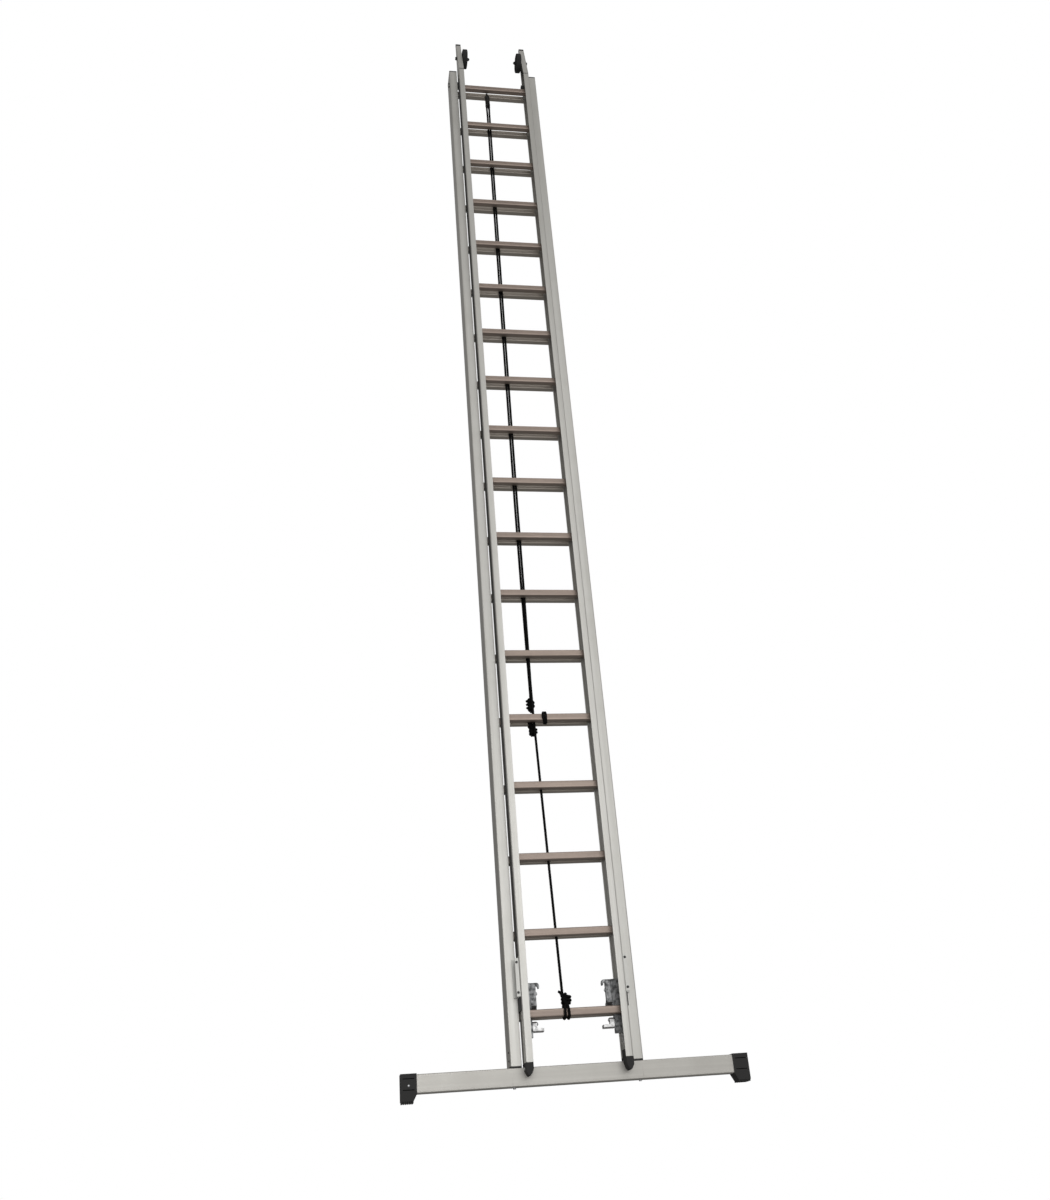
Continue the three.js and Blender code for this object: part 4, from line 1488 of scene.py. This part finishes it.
    def build(self) -> None:
        """Builds the whole rope."""
        self.make_lifting()
        self.make_hauling()


# ---- Studio -------------------------------------------------------------------------------


@dataclass
class Studio:
    """The camera, the pale floor and the soft light."""

    LIGHTS: ClassVar[Sequence[tuple[str, Point, float, float, float]]] = (
        ("left", (-1.4, -4.0, 0.7), 0.5, 2.4, 40.0),
        ("low", (1.0, -4.4, 1.6), 0.8, 2.8, 38.0),
        ("middle", (0.8, -4.6, 4.6), 2.2, 2.8, 26.0),
        ("high", (0.7, -4.8, 7.4), 3.6, 2.8, 14.0),
    )
    eye: Point = (-0.84078, -4.29469, -0.29907)
    right: Point = (0.98689, -0.14462, -0.07159)
    up: Point = (-0.00300, -0.46004, 0.88790)
    ahead: Point = (0.16134, 0.87604, 0.45444)
    lens: float = 34.813
    floor_size: float = 24.0
    floor_tone: float = 0.82

    def make_camera(self) -> None:
        """Places the camera below the ladder's middle, looking up along it."""
        data = bpy.data.cameras.new("camera")
        data.lens = self.lens
        data.sensor_width = 36.0
        data.clip_start, data.clip_end = 0.05, 200.0
        camera = bpy.data.objects.new("camera", data)
        back = -Vector(self.ahead)
        turn = Matrix((self.right, self.up, back)).transposed().to_4x4()
        camera.matrix_world = Matrix.Translation(self.eye) @ turn
        bpy.context.scene.collection.objects.link(camera)
        bpy.context.scene.camera = camera
        log.info("camera: %.1f mm lens", self.lens)

    def make_floor(self) -> None:
        """Lays a pale floor that shows from above and lets the view through from below."""
        s = self.floor_size
        mesh = bpy.data.meshes.new("floor")
        mesh.from_pydata([(-s, -s, -0.0004), (s, -s, -0.0004), (s, s, -0.0004), (-s, s, -0.0004)],
                         [], [(0, 1, 2, 3)])
        floor = bpy.data.objects.new("floor", mesh)
        graph = Graph("pale_floor")
        cloud = graph.noise((0.8, 0.8, 0.8), 3.0)
        tone = (self.floor_tone,) * 3
        colour = graph.blend(graph.ranged(cloud, (0.3, 0.7), (0.0, 0.3)), tone,
                             (self.floor_tone * 0.97,) * 3)
        normal = graph.bump(graph.noise((60.0, 60.0, 60.0)), 0.2, 0.05)
        graph.dress(colour, graph.ranged(cloud, (0.0, 1.0), (0.7, 0.8)), normal)
        nodes = graph.tree.nodes
        clear, which = nodes.new("ShaderNodeBsdfTransparent"), nodes.new("ShaderNodeMixShader")
        graph.join(nodes.new("ShaderNodeNewGeometry").outputs["Backfacing"], which.inputs[0])
        graph.join(graph.shader.outputs[0], which.inputs[1])
        graph.join(clear.outputs[0], which.inputs[2])
        output = next(n for n in nodes if n.type == "OUTPUT_MATERIAL")
        graph.join(which.outputs[0], output.inputs["Surface"])
        mesh.materials.append(graph.material)
        bpy.context.scene.collection.objects.link(floor)
        floor.visible_glossy = False
        floor.visible_diffuse = False
        log.info("floor: %.0f m square", 2 * s)

    def make_world(self) -> None:
        """Wraps a soft sky round the ladder: white behind it, brighter in front and above."""
        world = bpy.data.worlds.new("soft_box")
        world.use_nodes = True
        tree = world.node_tree
        tree.nodes.clear()
        output = tree.nodes.new("ShaderNodeOutputWorld")
        place = tree.nodes.new("ShaderNodeTexCoord")
        dot = tree.nodes.new("ShaderNodeVectorMath")
        dot.operation = "DOT_PRODUCT"
        dot.inputs[1].default_value = (0.30, -0.62, 0.62)
        level = tree.nodes.new("ShaderNodeMapRange")
        for name, number in (("From Min", -0.55), ("From Max", 0.85),
                             ("To Min", 0.20), ("To Max", 0.54)):
            level.inputs[name].default_value = number
        soft, plain = (tree.nodes.new("ShaderNodeBackground") for _ in range(2))
        soft.inputs["Color"].default_value = (1.0, 0.985, 0.96, 1.0)
        plain.inputs["Color"].default_value = (1.0, 1.0, 1.0, 1.0)
        seen = tree.nodes.new("ShaderNodeLightPath")
        mix = tree.nodes.new("ShaderNodeMixShader")
        tree.links.new(place.outputs["Generated"], dot.inputs[0])
        tree.links.new(dot.outputs["Value"], level.inputs["Value"])
        tree.links.new(level.outputs["Result"], soft.inputs["Strength"])
        tree.links.new(seen.outputs["Is Camera Ray"], mix.inputs[0])
        tree.links.new(soft.outputs[0], mix.inputs[1])
        tree.links.new(plain.outputs[0], mix.inputs[2])
        tree.links.new(mix.outputs[0], output.inputs["Surface"])
        bpy.context.scene.world = world

    def make_light(self, name: str, at: Point, aim: Point, size: float, watts: float) -> None:
        """Hangs a square soft light.

        Args:
            name: the light's name.
            at: where it hangs.
            aim: what it points at.
            size: length of its sides in metres.
            watts: its power.
        """
        data = bpy.data.lights.new(name, "AREA")
        data.size = size
        data.energy = watts
        light = bpy.data.objects.new(name, data)
        light.location = at
        turn = (Vector(aim) - Vector(at)).to_track_quat("-Z", "Y")
        light.rotation_mode = "QUATERNION"
        light.rotation_quaternion = turn
        bpy.context.scene.collection.objects.link(light)
        log.info("light: %s", name)

    def build(self) -> None:
        """Builds the studio."""
        bpy.context.scene.view_settings.view_transform = "Standard"
        self.make_camera()
        self.make_floor()
        self.make_world()
        for name, at, aim_z, size, watts in self.LIGHTS:
            self.make_light(f"{name}_soft_light", at, (0.0, 0.0, aim_z), size, watts)


def main() -> None:
    """Builds the studio and every part of the ladder, in order."""
    logging.basicConfig(level=logging.INFO, format="%(name)s: %(message)s")
    Studio().build()
    HoistingRope().build()
    BaseSection(237.0, 40.0, -24.0, 74.0, 91.3, 5165.0, 17.5).build()
    FlySection(190.5, 27.0, -74.0, 2.0, 102.0, 5400.0, -30.5).build()
    Crossbar().build()
    for side in Side:
        RungLock(side).build()
        WallRoller(side).build()
    Pulley().build()


if __name__ == "__main__":
    main()
